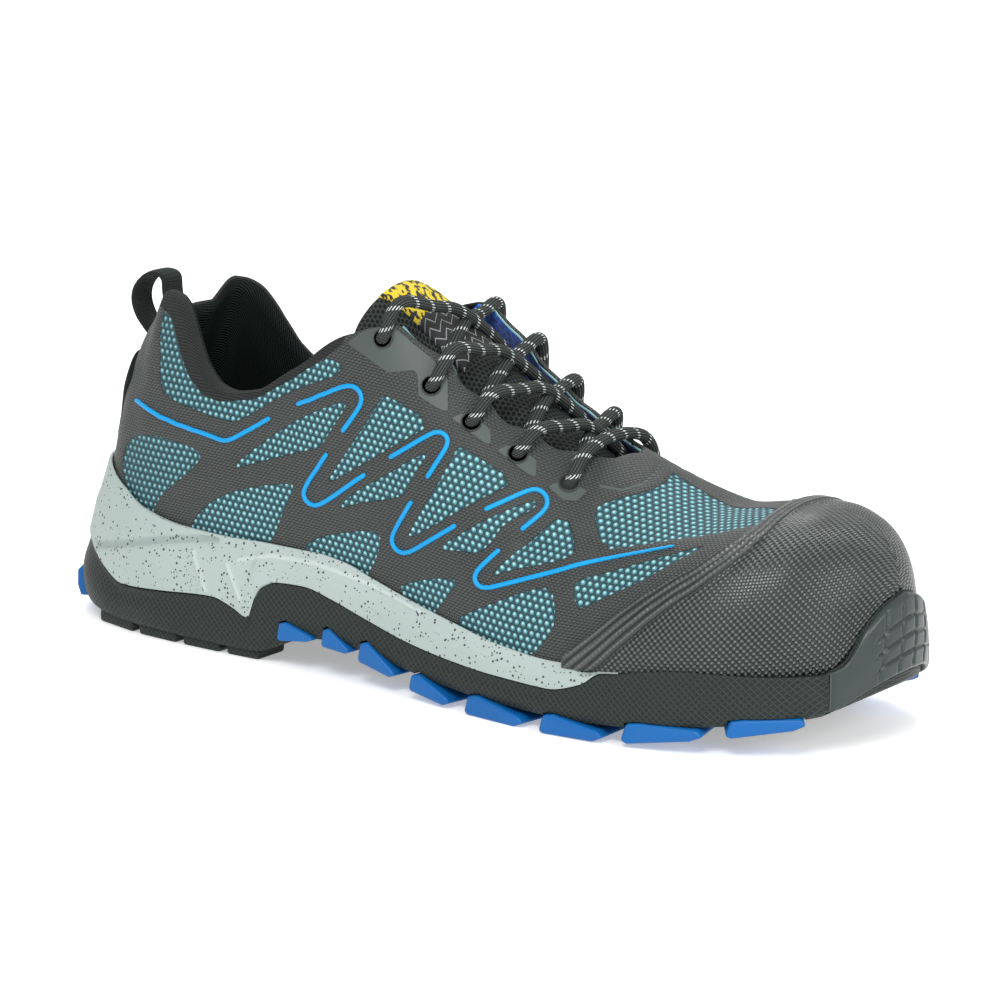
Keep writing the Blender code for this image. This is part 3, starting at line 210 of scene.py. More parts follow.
# Toe bumper: half width, how far its middle stands out and how far its lower edge arches up.
BUMPER_HALF = 27.5 * MM
BUMPER_PROUD = 0.9 * MM
BUMPER_LIFT = 4.5 * MM
# Heel counter: how far it stops under the top line and over the midsole's cup, and its half width.
COUNTER_DROP = 11.2 * MM
COUNTER_LIFT = 4.65 * MM
COUNTER_HALF = 17 * MM


def smooth_table(rows, columns):
    """Interpolates the rows with a shape-keeping cubic over an angle that rounds both ends of the shoe."""
    data = np.array(rows, float)
    turn = np.arccos(1 - 2 * data[:, 0])
    step = np.diff(turn)
    tables = {}
    for index, name in enumerate(columns[1:], 1):
        value = data[:, index]
        slope = np.diff(value) / step
        tangent = np.zeros(len(turn))
        same = slope[:-1] * slope[1:] > 0
        first = 2 * step[1:] + step[:-1]
        second = step[1:] + 2 * step[:-1]
        tangent[1:-1][same] = ((first + second) / (first / np.where(slope[:-1] == 0, 1, slope[:-1])
                               + second / np.where(slope[1:] == 0, 1, slope[1:])))[same]
        tangent[0], tangent[-1] = slope[0], slope[-1]
        tables[name] = (turn, value, tangent)
    return tables


def look_up(tables, name, along):
    """Value of a named column at a share of the length."""
    turn, value, tangent = tables[name]
    at = np.arccos(np.clip(1 - 2 * np.asarray(along, float), -1, 1))
    cell = np.clip(np.searchsorted(turn, at) - 1, 0, len(turn) - 2)
    step = turn[cell + 1] - turn[cell]
    t = np.clip((at - turn[cell]) / step, 0, 1)
    return ((1 + 2 * t) * (1 - t) ** 2 * value[cell] + t * (1 - t) ** 2 * step * tangent[cell]
            + t * t * (3 - 2 * t) * value[cell + 1] + t * t * (t - 1) * step * tangent[cell + 1])


LAST_TABLE = smooth_table(LAST, LAST_COLUMNS)
SOLE_TABLE = smooth_table(SOLE, SOLE_COLUMNS)
SIDE_TABLE = smooth_table(SIDE, SIDE_COLUMNS)
LAST_START = HEEL_FLARE - REST_SETBACK


def last_values(along):
    """Section sizes of the last at a share of its length, in metres."""
    return {
        "half": look_up(LAST_TABLE, "half", along) * LAST_BALL_HALF,
        "bend": look_up(LAST_TABLE, "bend", along) * LAST_BALL_HALF,
        "ridge": look_up(LAST_TABLE, "ridge", along) * LAST_BALL_HALF,
        "crown": look_up(LAST_TABLE, "crown", along) * INSTEP_HEIGHT,
        "feather": look_up(LAST_TABLE, "feather", along) * HEEL_SEAT,
        "square": look_up(LAST_TABLE, "square", along),
    }


def section_at(x, y):
    """The last's sizes under points of the plan, their offset from the ridge and its share of the reach."""
    size = last_values(np.clip((x - LAST_START) / LAST_LENGTH, 0, 1))
    offset = y - size["bend"] - size["ridge"]
    reach = np.maximum(size["half"] + np.where(offset < 0, size["ridge"], -size["ridge"]), 1e-6)
    return size, offset, np.clip(np.abs(offset) / reach, 0, 1)


def last_height(x, y):
    """Height of the last's outer surface over a point of the plan."""
    size, _, share = section_at(x, y)
    arch = (1 - share ** size["square"]) ** (1 / size["square"])
    return size["feather"] + (size["crown"] - size["feather"]) * arch


def last_plan(along, turn, side):
    """Plan position of a point turned up the section: 0 degrees at the outline, 90 at the ridge."""
    size = last_values(along)
    reach = size["half"] - side * size["ridge"]
    spread = np.cos(np.radians(turn)).clip(0, 1) ** (2 / size["square"])
    y = size["bend"] + size["ridge"] + side * reach * spread
    return np.stack([LAST_START + along * LAST_LENGTH, y], -1)


def last_outline(along, side):
    size = last_values(along)
    return np.stack([LAST_START + along * LAST_LENGTH, size["bend"] + side * size["half"]], -1)


def sole_outline(along, side):
    half = look_up(SOLE_TABLE, "half", along) * SOLE_BALL_HALF
    bend = look_up(SOLE_TABLE, "bend", along) * SOLE_BALL_HALF
    return np.stack([-REST_SETBACK + along * SOLE_LENGTH, bend + side * half], -1)


def side_height(name, along):
    return look_up(SIDE_TABLE, name, along) * SIDE_STACK


def run_of(points):
    """Share of a polyline's length at each of its points."""
    run = np.concatenate([[0], np.cumsum(np.linalg.norm(np.diff(points, axis=0), axis=1))])
    return run / run[-1]


def around(stations):
    """The closed ring: lateral side heel to toe, then medial side back to the heel."""
    along = np.concatenate([stations, stations[-2:0:-1]])
    side = np.concatenate([-np.ones(len(stations)), np.ones(len(stations) - 2)])
    return along, side


FINE = np.linspace(0, 1, 1201)
OUTLINE_RUN = run_of(last_outline((1 - np.cos(math.pi * FINE)) / 2, -1.0))
TOP_ROWS = np.array(TOP_LINE)
TOP_RUN = run_of(last_plan(TOP_ROWS[:, 0], TOP_ROWS[:, 1], -1.0))


def rib_ends(along, side):
    """Foot of each rib on the outline, and its head on the top line, both in plan."""
    foot = last_outline(along, side)
    turn = np.arccos(np.clip(1 - 2 * along, -1, 1)) / math.pi
    run = np.interp(np.interp(turn, FINE, OUTLINE_RUN), *np.array(RIB_LEAN).T)
    head_along = np.interp(run, TOP_RUN, TOP_ROWS[:, 0])
    head_turn = np.interp(run, TOP_RUN, TOP_ROWS[:, 1])
    return foot, last_plan(head_along, head_turn, side)


SAMPLES = 240


def fine_ribs(along, side):
    """Each rib finely sampled from the outline to the top line, as an array of ribs by samples by 3."""
    foot, head = rib_ends(along, side)
    step = 1 - np.cos(np.linspace(0, math.pi / 2, SAMPLES))
    plan = foot[:, None] + (head - foot)[:, None] * step[None, :, None]
    height = last_height(plan[..., 0], plan[..., 1])
    return np.concatenate([plan, height[..., None]], -1)


def resample(ribs, low, high, rows):
    """Even points along each rib between two shares of its run, as rows by ribs by 3."""
    found = np.zeros((rows, len(ribs), 3))
    for i, rib in enumerate(ribs):
        run = run_of(rib)
        wanted = np.linspace(low[i], high[i], rows)
        for axis in range(3):
            found[:, i, axis] = np.interp(wanted, run, rib[:, axis])
    return found


def rib_share_at(ribs, reached):
    """Share of each rib's run where a test first turns true along it."""
    found = np.zeros(len(ribs))
    for i, rib in enumerate(ribs):
        met = reached[i]
        found[i] = run_of(rib)[np.argmax(met)] if met.any() else 1.0
    return found


def unit(vectors, least=0.0):
    """Vectors brought to a length of one."""
    return vectors / np.maximum(np.linalg.norm(vectors, axis=-1, keepdims=True), least)


def grid_normals(grid, closed=True):
    """Outward normals of rows by ribs by 3."""
    up = np.gradient(grid, axis=0)
    if closed:
        along = np.roll(grid, -1, axis=1) - np.roll(grid, 1, axis=1)
    else:
        along = np.gradient(grid, axis=1)
    return unit(np.cross(along, up), 1e-12)


def upper_wall_at(share_up, head_along):
    """Thickness of the upper: thin over the foot, padded towards the collar, thin again along the throat."""
    pad = soft((share_up - PAD_FOOT) / PAD_RISE)
    ankle = np.clip((PAD_END - head_along) / PAD_FADE, 0, 1)
    return UPPER_WALL + (COLLAR_PAD - UPPER_WALL) * pad * ankle


def through(knots, steps):
    """A smooth run of points through the knots."""
    knots = np.array(knots)
    run = np.linspace(0, len(knots) - 1, steps + 1)
    cell = np.clip(run.astype(int), 0, len(knots) - 2)
    t = (run - cell)[:, None]
    slope = np.gradient(knots, axis=0)
    start = (1 + 2 * t) * (1 - t) ** 2 * knots[cell] + t * (1 - t) ** 2 * slope[cell]
    return start + t * t * (3 - 2 * t) * knots[cell + 1] + t * t * (t - 1) * slope[cell + 1]


# The collar's padding: shares of LAST_LENGTH at which it ends and over which it fades, and of a rib's run
# from which and over which it grows.
PAD_END = 0.400
PAD_FADE = 0.10
PAD_FOOT = 0.45
PAD_RISE = 0.4


def wall_at_height(ribs, height):
    """Plan position of each rib's outer wall at a height, and its outline below the feather line."""
    found = np.zeros((len(ribs), 2))
    for i, rib in enumerate(ribs):
        top = int(np.argmax(rib[:, 2]))
        for axis in range(2):
            found[i, axis] = np.interp(height[i], rib[: top + 1, 2], rib[: top + 1, axis])
    return found


class SoleFrame:
    """Stations of the sole: places a point by its share from the upper's wall out to the sole's outline."""

    def __init__(self, stations):
        self.along, self.side = around(stations)
        self.ribs = fine_ribs(self.along, self.side)
        self.foot = last_outline(self.along, self.side)
        self.spread = sole_outline(self.along, self.side) - self.foot
        self.reach = np.linalg.norm(self.spread, axis=-1)
        self.clear = (GAP * 1.3) / self.reach
        self.seam = side_height("seam", self.along)
        self.under = side_height("under", self.along)
        self.cup = np.maximum(side_height("cup", self.along), self.seam + 2 * GAP)
        tip = sole_outline(np.array([1.0]), 1.0)[0, 1]
        toe = np.clip((BUMPER_HALF + 1.5 * MM - np.abs(self.foot[:, 1] - tip)) / (1.5 * MM), 0, 1)
        self.toe = toe * (self.along > 0.9)
        self.heel_lean = np.clip((HEEL_TAPER - self.along) / HEEL_TAPER, 0, 1) ** 0.7

    def toe_share(self, height):
        """Share of the way out at which the rand stands under the bumper, at a height."""
        rise = np.clip((height - self.under) / (self.seam - self.under), 0, 1)
        lean = np.where(rise < 0.5, 1.0, 1.0 - 0.10 * (2 * rise - 1))
        return lean - self.toe * (BUMPER_WALL + GAP) / self.reach

    def ring(self, share, height):
        height = height + 0 * self.along
        plan = wall_at_height(self.ribs, height) + self.spread * (share + 0 * self.along)[:, None]
        return np.concatenate([plan, height[:, None]], -1)


def lug_prism(profile, origin, forward, inward, depth, grow=0.0):
    """A tread lug: a side profile of (forward, height) pairs pushed inward from the sole's outline."""
    profile = np.array(profile)
    if grow:
        centre = profile.mean(axis=0)
        away = profile - centre
        profile = centre + away * (1 + grow / np.linalg.norm(away, axis=1, keepdims=True))
    start, end = (-grow - LUG_PROUD, depth + grow)
    points = []
    for push in (start, end):
        for ahead, height in profile:
            plan = origin + forward * ahead + inward * push
            points.append((plan[0], plan[1], height))
    count = len(profile)
    faces = [tuple(range(count)), tuple(range(2 * count - 1, count - 1, -1))]
    faces += [(i, (i + 1) % count, count + (i + 1) % count, count + i) for i in range(count)]
    return np.array(points), faces


# Side lugs, heel to toe. start and end are shares of SOLE_LENGTH, rise is the rear top corner and drop the
# front one, as shares of SIDE_STACK over the tread line, reach a share of LUG_REACH.
SIDE_LUGS = (
    (0.329, 0.376, 0.160, 0.05, 0.5),
    (0.388, 0.426, 0.160, 0.05, 0.5),
    (0.438, 0.490, 0.180, 0.06, 0.6),
    (0.510, 0.566, 0.155, 0.07, 0.8),
    (0.587, 0.664, 0.170, 0.09, 1.0),
    (0.684, 0.758, 0.165, 0.09, 1.0),
    (0.778, 0.862, 0.175, 0.10, 1.0),
    (0.882, 0.950, 0.150, 0.10, 0.8),
)


def side_lug_shape(row, side, grow=0.0):
    """A side lug, or the pocket for it when it grows."""
    start, end, rise, drop, reach = row
    ends = sole_outline(np.array([start, end]), float(side))
    forward = ends[1] - ends[0]
    length = np.linalg.norm(forward)
    forward = forward / length
    inward = np.array([forward[1], -forward[0]]) * side
    base = side_height("tread", np.array([start + 0.01, end - 0.01]))
    low_rear, low_front = base
    profile = [
        (0.0, low_rear + 0.6 * MM),
        (0.08 * length, low_rear),
        (0.84 * length, low_front),
        (1.0 * length, low_front + drop * SIDE_STACK * 0.45),
        (0.93 * length, low_front + drop * SIDE_STACK),
        (0.22 * length, low_rear + rise * SIDE_STACK),
        (0.06 * length, low_rear + rise * SIDE_STACK * 0.9),
    ]
    return lug_prism(profile, ends[0], forward, inward, LUG_REACH * reach, grow)


# Middle lugs of the tread: along and across are shares of SOLE_LENGTH and SOLE_BALL_HALF, as are the sizes.
MIDDLE_LUGS = (
    (0.183, 0.00, 0.050, 0.42),
    (0.475, -0.22, 0.040, 0.30),
    (0.475, 0.22, 0.040, 0.30),
    (0.555, -0.28, 0.046, 0.36),
    (0.555, 0.20, 0.046, 0.36),
    (0.640, -0.30, 0.050, 0.42),
    (0.640, 0.24, 0.050, 0.42),
    (0.725, -0.31, 0.050, 0.42),
    (0.725, 0.27, 0.050, 0.42),
    (0.810, -0.27, 0.046, 0.38),
    (0.810, 0.25, 0.046, 0.38),
    (0.890, -0.20, 0.040, 0.32),
    (0.890, 0.22, 0.040, 0.32),
)
HEEL_LUG_EDGES = (0.058, 0.126, 0.190, 0.250, 0.302)
HEEL_GROOVE = 2.6 * MM
HEEL_LUG_DEPTH = 0.42


def block(points_low, height_low, height_high):
    """A prism over four plan corners; the heights may differ corner by corner."""
    points = [(p[0], p[1], h) for p, h in zip(points_low, height_low)]
    points += [(p[0], p[1], h) for p, h in zip(points_low, height_high)]
    faces = [(0, 1, 2, 3), (7, 6, 5, 4)] + [(i, (i + 1) % 4, 4 + (i + 1) % 4, 4 + i) for i in range(4)]
    return np.array(points), faces


HEEL_LUG_HALF = 19 * MM
HEEL_LUG_DEEP = 6 * MM
HEEL_LUG_LOW = 4.5 * MM
HEEL_LUG_HIGH = 15.5 * MM
HEEL_LUG_PROUD = 2.2 * MM
HEEL_LUG_COLUMNS = 9
# How far the insert's lower and upper edges are bevelled back.
HEEL_LUG_BEVEL = 3.5 * MM
HEEL_LUG_BROW = 2.5 * MM


def heel_lug_shape(grow=0.0):
    """The coloured insert wrapped round the back of the heel."""
    along = (1 - np.cos(np.linspace(0, 0.6, 400))) / 2
    outline = sole_outline(along, 1.0)
    width = HEEL_LUG_HALF + grow
    across = np.linspace(-width, width, HEEL_LUG_COLUMNS)
    back = np.interp(np.abs(across), outline[:, 1], outline[:, 0])
    ahead = np.gradient(back, across)
    out = unit(np.stack([-np.ones(len(across)), ahead], -1))
    proud = HEEL_LUG_PROUD
    profile = (
        (proud + grow, HEEL_LUG_LOW + HEEL_LUG_BEVEL),
        (proud * 0.5 + grow, HEEL_LUG_LOW - grow),
        (-HEEL_LUG_DEEP - grow, HEEL_LUG_LOW - grow),
        (-HEEL_LUG_DEEP - grow, HEEL_LUG_HIGH + grow),
        (grow - 0.5 * MM, HEEL_LUG_HIGH + grow),
        (proud + grow, HEEL_LUG_HIGH - HEEL_LUG_BROW),
    )
    points = []
    for x, y, (nx, ny) in zip(back, across, out):
        points += [(x + nx * push, y + ny * push, height) for push, height in profile]
    count = len(profile)
    faces = [tuple(range(count)), tuple(len(points) - 1 - k for k in range(count))]
    for c in range(len(across) - 1):
        a, b = c * count, (c + 1) * count
        faces += [(a + i, a + (i + 1) % count, b + (i + 1) % count, b + i) for i in range(count)]
    return np.array(points), faces


# Heel counter, foot to head: shares of its height and of COUNTER_HALF.
COUNTER_SHAPE = ((0.0, 0.55), (0.18, 0.60), (0.41, 0.72), (0.65, 0.95), (0.85, 0.90), (1.0, 0.55))


def heel_depth(y, z):
    """Distance along the shoe at which the last's back reaches a height, found by halving."""
    low = np.full(y.shape, LAST_START)
    high = np.full(y.shape, LAST_START + 0.16 * LAST_LENGTH)
    for _ in range(40):
        middle = (low + high) / 2
        above = last_height(middle, y) > z
        high = np.where(above, middle, high)
        low = np.where(above, low, middle)
    return (low + high) / 2


def heel_crest():
    """Distance along the shoe and height of the top line at the middle of the heel."""
    back = LAST_START + TOP_ROWS[0, 0] * LAST_LENGTH
    return back, last_height(np.array([back]), np.array([0.0]))[0]


# Tongue, toe end to top: along and rise are shares of LAST_LENGTH and INSTEP_HEIGHT at the middle. half, drop
# and sweep are shares of TONGUE_HALF: how far the sides reach, fall and lie back. thick is a share too.
TONGUE = (
    (0.682, 0.530, 0.52, 0.20, 0.00, 0.45),
    (0.635, 0.598, 0.68, 0.32, 0.00, 0.55),
    (0.580, 0.672, 0.78, 0.42, 0.00, 0.70),
    (0.530, 0.745, 0.82, 0.46, 0.00, 0.85),
    (0.480, 0.820, 0.82, 0.46, 0.02, 1.00),
    (0.435, 0.895, 0.79, 0.45, 0.10, 1.00),
    (0.402, 0.948, 0.75, 0.44, 0.24, 0.95),
    (0.372, 0.970, 0.71, 0.42, 0.40, 0.80),
)
TONGUE_HALF = 31 * MM
# Rows at which the tongue's height is looked up.
TONGUE_LOOK = 60


def tongue_rows(count):
    """The tongue's table, smoothed to an even number of rows."""
    return through(TONGUE, count - 1)


def tongue_grid(count, across):
    """Top surface of the tongue, rows from the toe end up by columns from the lateral side."""
    rows = tongue_rows(count)
    share = np.linspace(-1, 1, across)[None, :]
    along, rise, half, drop, sweep = (rows[:, k, None] for k in range(5))
    x = LAST_START + along * LAST_LENGTH - sweep * TONGUE_HALF * share ** 2
    y = share * half * TONGUE_HALF + 0 * x
    z = rise * INSTEP_HEIGHT - drop * TONGUE_HALF * share ** 2
    return np.stack([x, y, z], -1), rows[:, 5]


# Pull loop at the heel, heel side up and over: ahead of the heel's back and up, as shares of LOOP_REACH,
# measured from the collar's crest at the back.
LOOP_PATH = (
    (-0.385, -1.25),
    (-0.74, -0.92),
    (-1.10, -0.50),
    (-1.28, 0.00),
    (-1.20, 0.46),
    (-0.86, 0.86),
    (-0.42, 1.04),
    (-0.06, 0.94),
    (0.01, 0.50),
    (0.10, -0.11),
)
LOOP_REACH = 8.8 * MM
LOOP_WIDTH = 10 * MM
LOOP_WALL = 1.6 * MM


# Eyelets, top to toe: along is a share of LAST_LENGTH, out a share of the ankle's half width.
EYELETS = (
    (0.424, 0.94),
    (0.486, 0.92),
    (0.535, 0.88),
    (0.590, 0.82),
    (0.649, 0.73),
)
EYELET_HALF = 34 * MM


def eyelet_point(index, side):
    along, out = EYELETS[index]
    x = LAST_START + along * LAST_LENGTH
    y = side * out * EYELET_HALF
    return np.array([x, y, last_height(np.array([x]), np.array([y]))[0]])


def tongue_height(x, y):
    """Height of the tongue's top surface over a point near its middle."""
    rows = tongue_rows(TONGUE_LOOK)
    along = (x - LAST_START) / LAST_LENGTH
    values = [np.interp(-along, -rows[:, 0], rows[:, k]) for k in range(5)]
    share = y / (values[2] * TONGUE_HALF)
    along += values[4] * TONGUE_HALF * share ** 2 / LAST_LENGTH
    values = [np.interp(-along, -rows[:, 0], rows[:, k]) for k in range(5)]
    return values[1] * INSTEP_HEIGHT - values[3] * TONGUE_HALF * share ** 2


def surface_normal(x, y):
    """Outward normal of the last's surface over a point."""
    step = 0.5 * MM
    xs = np.array([x + step, x - step, x, x])
    ys = np.array([y, y, y + step, y - step])
    z = last_height(xs, ys)
    normal = np.array([z[1] - z[0], z[3] - z[2], 2 * step])
    return normal / np.linalg.norm(normal)


def throat_half(x):
    """Half width of the throat's opening at a distance along the shoe."""
    plan = last_plan(TOP_ROWS[:, 0], TOP_ROWS[:, 1], 1.0)[12:]
    return np.interp(x, plan[:, 0], plan[:, 1])


SOLE_STATIONS = 150


# The photograph's camera, fitted to the shoe: turn, rise and roll in radians, distance in metres, and focal
# length and centre in the photograph's pixels.
CAMERA_TURN = 0.56564
CAMERA_RISE = 0.22682
CAMERA_ROLL = 0.026297
CAMERA_AWAY = 1.50324
CAMERA_AIM = (0.095, 0.0, 0.045)
FOCAL_PIXELS = 4767.39
CENTRE_PIXELS = (489.19, 528.30)
PHOTO_PIXELS = 1000
SENSOR_MM = 36


def camera_axes():
    """Forward, right and up of the fitted camera, and its place."""
    turn, rise, roll = CAMERA_TURN, CAMERA_RISE, CAMERA_ROLL
    forward = -np.array([math.sin(turn) * math.cos(rise), -math.cos(turn) * math.cos(rise), math.sin(rise)])
    flat = np.array([math.cos(turn), math.sin(turn), 0.0])
    lift = np.cross(flat, forward)
    right = flat * math.cos(roll) + lift * math.sin(roll)
    up = lift * math.cos(roll) - flat * math.sin(roll)
    return forward, right, up, np.array(CAMERA_AIM) - forward * CAMERA_AWAY


FORWARD, RIGHT, UP, EYE = camera_axes()


def to_pixels(points):
    """Pixels of the photograph at which points of the shoe are seen."""
    away = points - EYE
    depth = away @ FORWARD
    return np.stack([CENTRE_PIXELS[0] + FOCAL_PIXELS * (away @ RIGHT) / depth,
                     CENTRE_PIXELS[1] - FOCAL_PIXELS * (away @ UP) / depth], -1)


def sight(pixel):
    """Direction in which a pixel of the photograph is seen."""
    across = (pixel[0] - CENTRE_PIXELS[0]) / FOCAL_PIXELS
    down = (pixel[1] - CENTRE_PIXELS[1]) / FOCAL_PIXELS
    return Vector(FORWARD + RIGHT * across - UP * down).normalized()


def place_camera():
    """Puts the scene's camera where the photograph's was."""
    centre = PHOTO_PIXELS / 2
    aim = (FORWARD + RIGHT * (centre - CENTRE_PIXELS[0]) / FOCAL_PIXELS
           - UP * (centre - CENTRE_PIXELS[1]) / FOCAL_PIXELS)
    aim = Vector(aim).normalized()
    right = aim.cross(Vector(UP)).normalized()
    up = right.cross(aim)
    lens = bpy.data.cameras.new("camera")
    lens.sensor_width = SENSOR_MM
    lens.lens = FOCAL_PIXELS * SENSOR_MM / PHOTO_PIXELS
    camera = bpy.data.objects.new("camera", lens)
    bpy.context.scene.collection.objects.link(camera)
    pose = Matrix((right, up, -aim)).transposed().to_4x4()
    pose.translation = Vector(EYE)
    camera.matrix_world = pose
    bpy.context.scene.camera = camera


# Soft lights: name, place, target, width in metres and power in watts.
LIGHTS = (
    ("key", (0.55, -1.1, 1.25), (0.08, 0, 0.03), 0.7, 15),
    ("front", (1.4, -0.3, 0.7), (0.12, 0, 0.04), 0.8, 9),
    ("back", (-0.6, 0.9, 1.2), (0.05, 0, 0.05), 0.8, 10),
)
SKY_STRENGTH = 0.75
FLOOR_HALF = 40.0
FLOOR_TONE = (0.86, 0.86, 0.86)
FLOOR_GLOW = 0.36


def area_light(name, place, target, size, power):
    """A soft round light that faces its target."""
    lamp = bpy.data.lights.new(name, "AREA")
    lamp.shape = "DISK"
    lamp.size = size
    lamp.energy = power
    light = bpy.data.objects.new(name, lamp)
    bpy.context.scene.collection.objects.link(light)
    light.location = place
    light.rotation_euler = (Vector(target) - Vector(place)).to_track_quat("-Z", "Y").to_euler()


def studio():
    """Pale floor, pale surroundings and three soft lights."""
    world = bpy.data.worlds.new("studio")
    world.use_nodes = True
    world.node_tree.nodes["Background"].inputs[0].default_value = (1, 1, 1, 1)
    world.node_tree.nodes["Background"].inputs[1].default_value = SKY_STRENGTH
    bpy.context.scene.world = world
    bpy.context.scene.view_settings.view_transform = "Standard"
    mesh = bpy.data.meshes.new("floor")
    corners = [(x * FLOOR_HALF, y * FLOOR_HALF, 0) for x, y in ((-1, -1), (1, -1), (1, 1), (-1, 1))]
    mesh.from_pydata(corners, [], [(0, 1, 2, 3)])
    floor = bpy.data.objects.new("floor", mesh)
    bpy.context.scene.collection.objects.link(floor)
    shade = Shade("floor")
    shade.base(FLOOR_TONE)
    shade.shader.inputs["Emission Color"].default_value = (1, 1, 1, 1)
    shade.shader.inputs["Emission Strength"].default_value = FLOOR_GLOW
    mesh.materials.append(shade.material)
    for light in LIGHTS:
        area_light(*light)


class Shade:
    """A node material, with short calls for the nodes used here."""

    def __init__(self, name, roughness=0.6, gloss=0.5, **sockets):
        self.material = bpy.data.materials.new(name)
        self.material.use_nodes = True
        self.tree = self.material.node_tree
        self.shader = self.tree.nodes["Principled BSDF"]
        self.shader.inputs["Roughness"].default_value = roughness
        self.shader.inputs["Specular IOR Level"].default_value = gloss
        for socket, value in sockets.items():
            self.shader.inputs[socket.replace("_", " ").title()].default_value = value

    def feed(self, socket, value):
        if isinstance(value, bpy.types.NodeSocket):
            self.tree.links.new(value, socket)
        elif isinstance(value, tuple) and len(value) == 3 and socket.type == "RGBA":
            socket.default_value = (*value, 1)
        elif value is not None:
            socket.default_value = value

    def node(self, kind, *values, **settings):
        made = self.tree.nodes.new("ShaderNode" + kind)
        for setting, value in settings.items():
            setattr(made, setting, value)
        for socket, value in zip(made.inputs, values):
            self.feed(socket, value)
        return made

    def base(self, value):
        self.feed(self.shader.inputs["Base Color"], value)

    def rough(self, value):
        self.feed(self.shader.inputs["Roughness"], value)

    def math(self, operation, first, second=None, third=None):
        return self.node("Math", first, second, third, operation=operation).outputs[0]

    def vector(self, operation, first, second=None):
        made = self.node("VectorMath", first, second, operation=operation)
        return made.outputs["Value" if operation in ("LENGTH", "DOT_PRODUCT") else "Vector"]

    def mix(self, share, first, second):
        made = self.node("Mix", data_type="RGBA")
        self.feed(made.inputs[0], share)
        self.feed(made.inputs[6], first)
        self.feed(made.inputs[7], second)
        return made.outputs[2]

    def lay(self):
        return self.node("Attribute", attribute_name="lay").outputs["Vector"]

    def value(self, name):
        return self.node("Attribute", attribute_name=name).outputs["Fac"]

    def place(self):
        return self.node("TexCoord").outputs["Object"]

    def step(self, value, low, high, out_low=0.0, out_high=1.0):
        made = self.node("MapRange", interpolation_type="SMOOTHSTEP")
        for socket, given in zip(("Value", "From Min", "From Max", "To Min", "To Max"),
                                 (value, low, high, out_low, out_high)):
            self.feed(made.inputs[socket], given)
        return made.outputs[0]

    def noise(self, scale, detail=2.0, where=None):
        made = self.node("TexNoise")
        self.feed(made.inputs["Vector"], where if where is not None else self.place())
        made.inputs["Scale"].default_value = scale
        made.inputs["Detail"].default_value = detail
        return made.outputs["Fac"]

    def cells(self, scale):
        made = self.node("TexVoronoi")
        self.feed(made.inputs["Vector"], self.place())
        made.inputs["Scale"].default_value = scale
        return made.outputs

    def bump(self, height, distance, strength=1.0):
        """Adds a bump of so many metres on top of those already there."""
        made = self.node("Bump")
        made.inputs["Strength"].default_value = strength
        made.inputs["Distance"].default_value = distance
        self.feed(made.inputs["Height"], height)
        normal = self.shader.inputs["Normal"]
        if normal.is_linked:
            self.tree.links.new(normal.links[0].from_socket, made.inputs["Normal"])
        self.tree.links.new(made.outputs[0], normal)

    def dots(self, where, pitch):
        """Distance from the nearest point of a staggered lattice, in millimetres."""
        cell = (pitch, pitch * 3 ** 0.5, 1.0)
        found = []
        for shift in (0.0, 0.5):
            moved = self.vector("ADD", self.vector("DIVIDE", where, cell), (shift, shift, 0.0))
            centred = self.vector("SUBTRACT", self.vector("FRACTION", moved), (0.5, 0.5, 0.0))
            flat = self.vector("MULTIPLY", centred, (cell[0], cell[1], 0.0))
            found.append(self.vector("LENGTH", flat))
        return self.math("MINIMUM", *found)

    def ribs(self, where, pitch, axis=1):
        """A wave of a pitch in millimetres along one axis of the lay, from 0 to 1."""
        along = self.node("SeparateXYZ", where).outputs[axis]
        turned = self.math("MULTIPLY", along, 2 * math.pi / pitch)
        return self.math("MULTIPLY_ADD", self.math("SINE", turned), 0.5, 0.5)


def even_stations(count):
    """Stations at even steps of the outline's own length."""
    turn = np.interp(np.linspace(0, 1, count + 1), OUTLINE_RUN, FINE)
    return (1 - np.cos(math.pi * turn)) / 2


def make_piece(name, points, faces, paints, picks=None, angle=None, weld=0.0):
    """A named piece on the shoe's one body, smooth unless an angle says which edges stay sharp."""
    mesh = bpy.data.meshes.new(name)
    mesh.from_pydata(np.asarray(points, float).reshape(-1, 3).tolist(), [], faces)
    if picks is not None:
        mesh.polygons.foreach_set("material_index", np.asarray(picks, np.int32))
    for paint in paints:
        mesh.materials.append(paint)
    body = bmesh.new()
    body.from_mesh(mesh)
    if weld:
        bmesh.ops.remove_doubles(body, verts=body.verts, dist=weld)
    bmesh.ops.recalc_face_normals(body, faces=body.faces)
    body.to_mesh(mesh)
    body.free()
    mesh.shade_smooth()
    if angle is not None:
        mesh.set_sharp_from_angle(angle=math.radians(angle))
    piece = bpy.data.objects.new(name, mesh)
    bpy.context.scene.collection.objects.link(piece)
    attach(piece, "root")
    return piece


def store(piece, name, values):
    """A named value or vector at each point of a piece, for its material."""
    values = np.asarray(values, np.float32)
    kind, key = ("FLOAT", "value") if values.ndim == 1 else ("FLOAT_VECTOR", "vector")
    layer = piece.data.attributes.new(name, kind, "POINT")
    layer.data.foreach_set(key, values.ravel())


def grid_faces(rows, columns, closed=False, first=0):
    r, c = np.meshgrid(np.arange(rows - 1), np.arange(columns if closed else columns - 1), indexing="ij")
    nxt = (c + 1) % columns
    quads = np.stack([r * columns + c, r * columns + nxt, (r + 1) * columns + nxt, (r + 1) * columns + c], -1)
    return (quads.reshape(-1, 4) + first).tolist()


def soft(share):
    share = np.clip(share, 0, 1)
    return share * share * (3 - 2 * share)


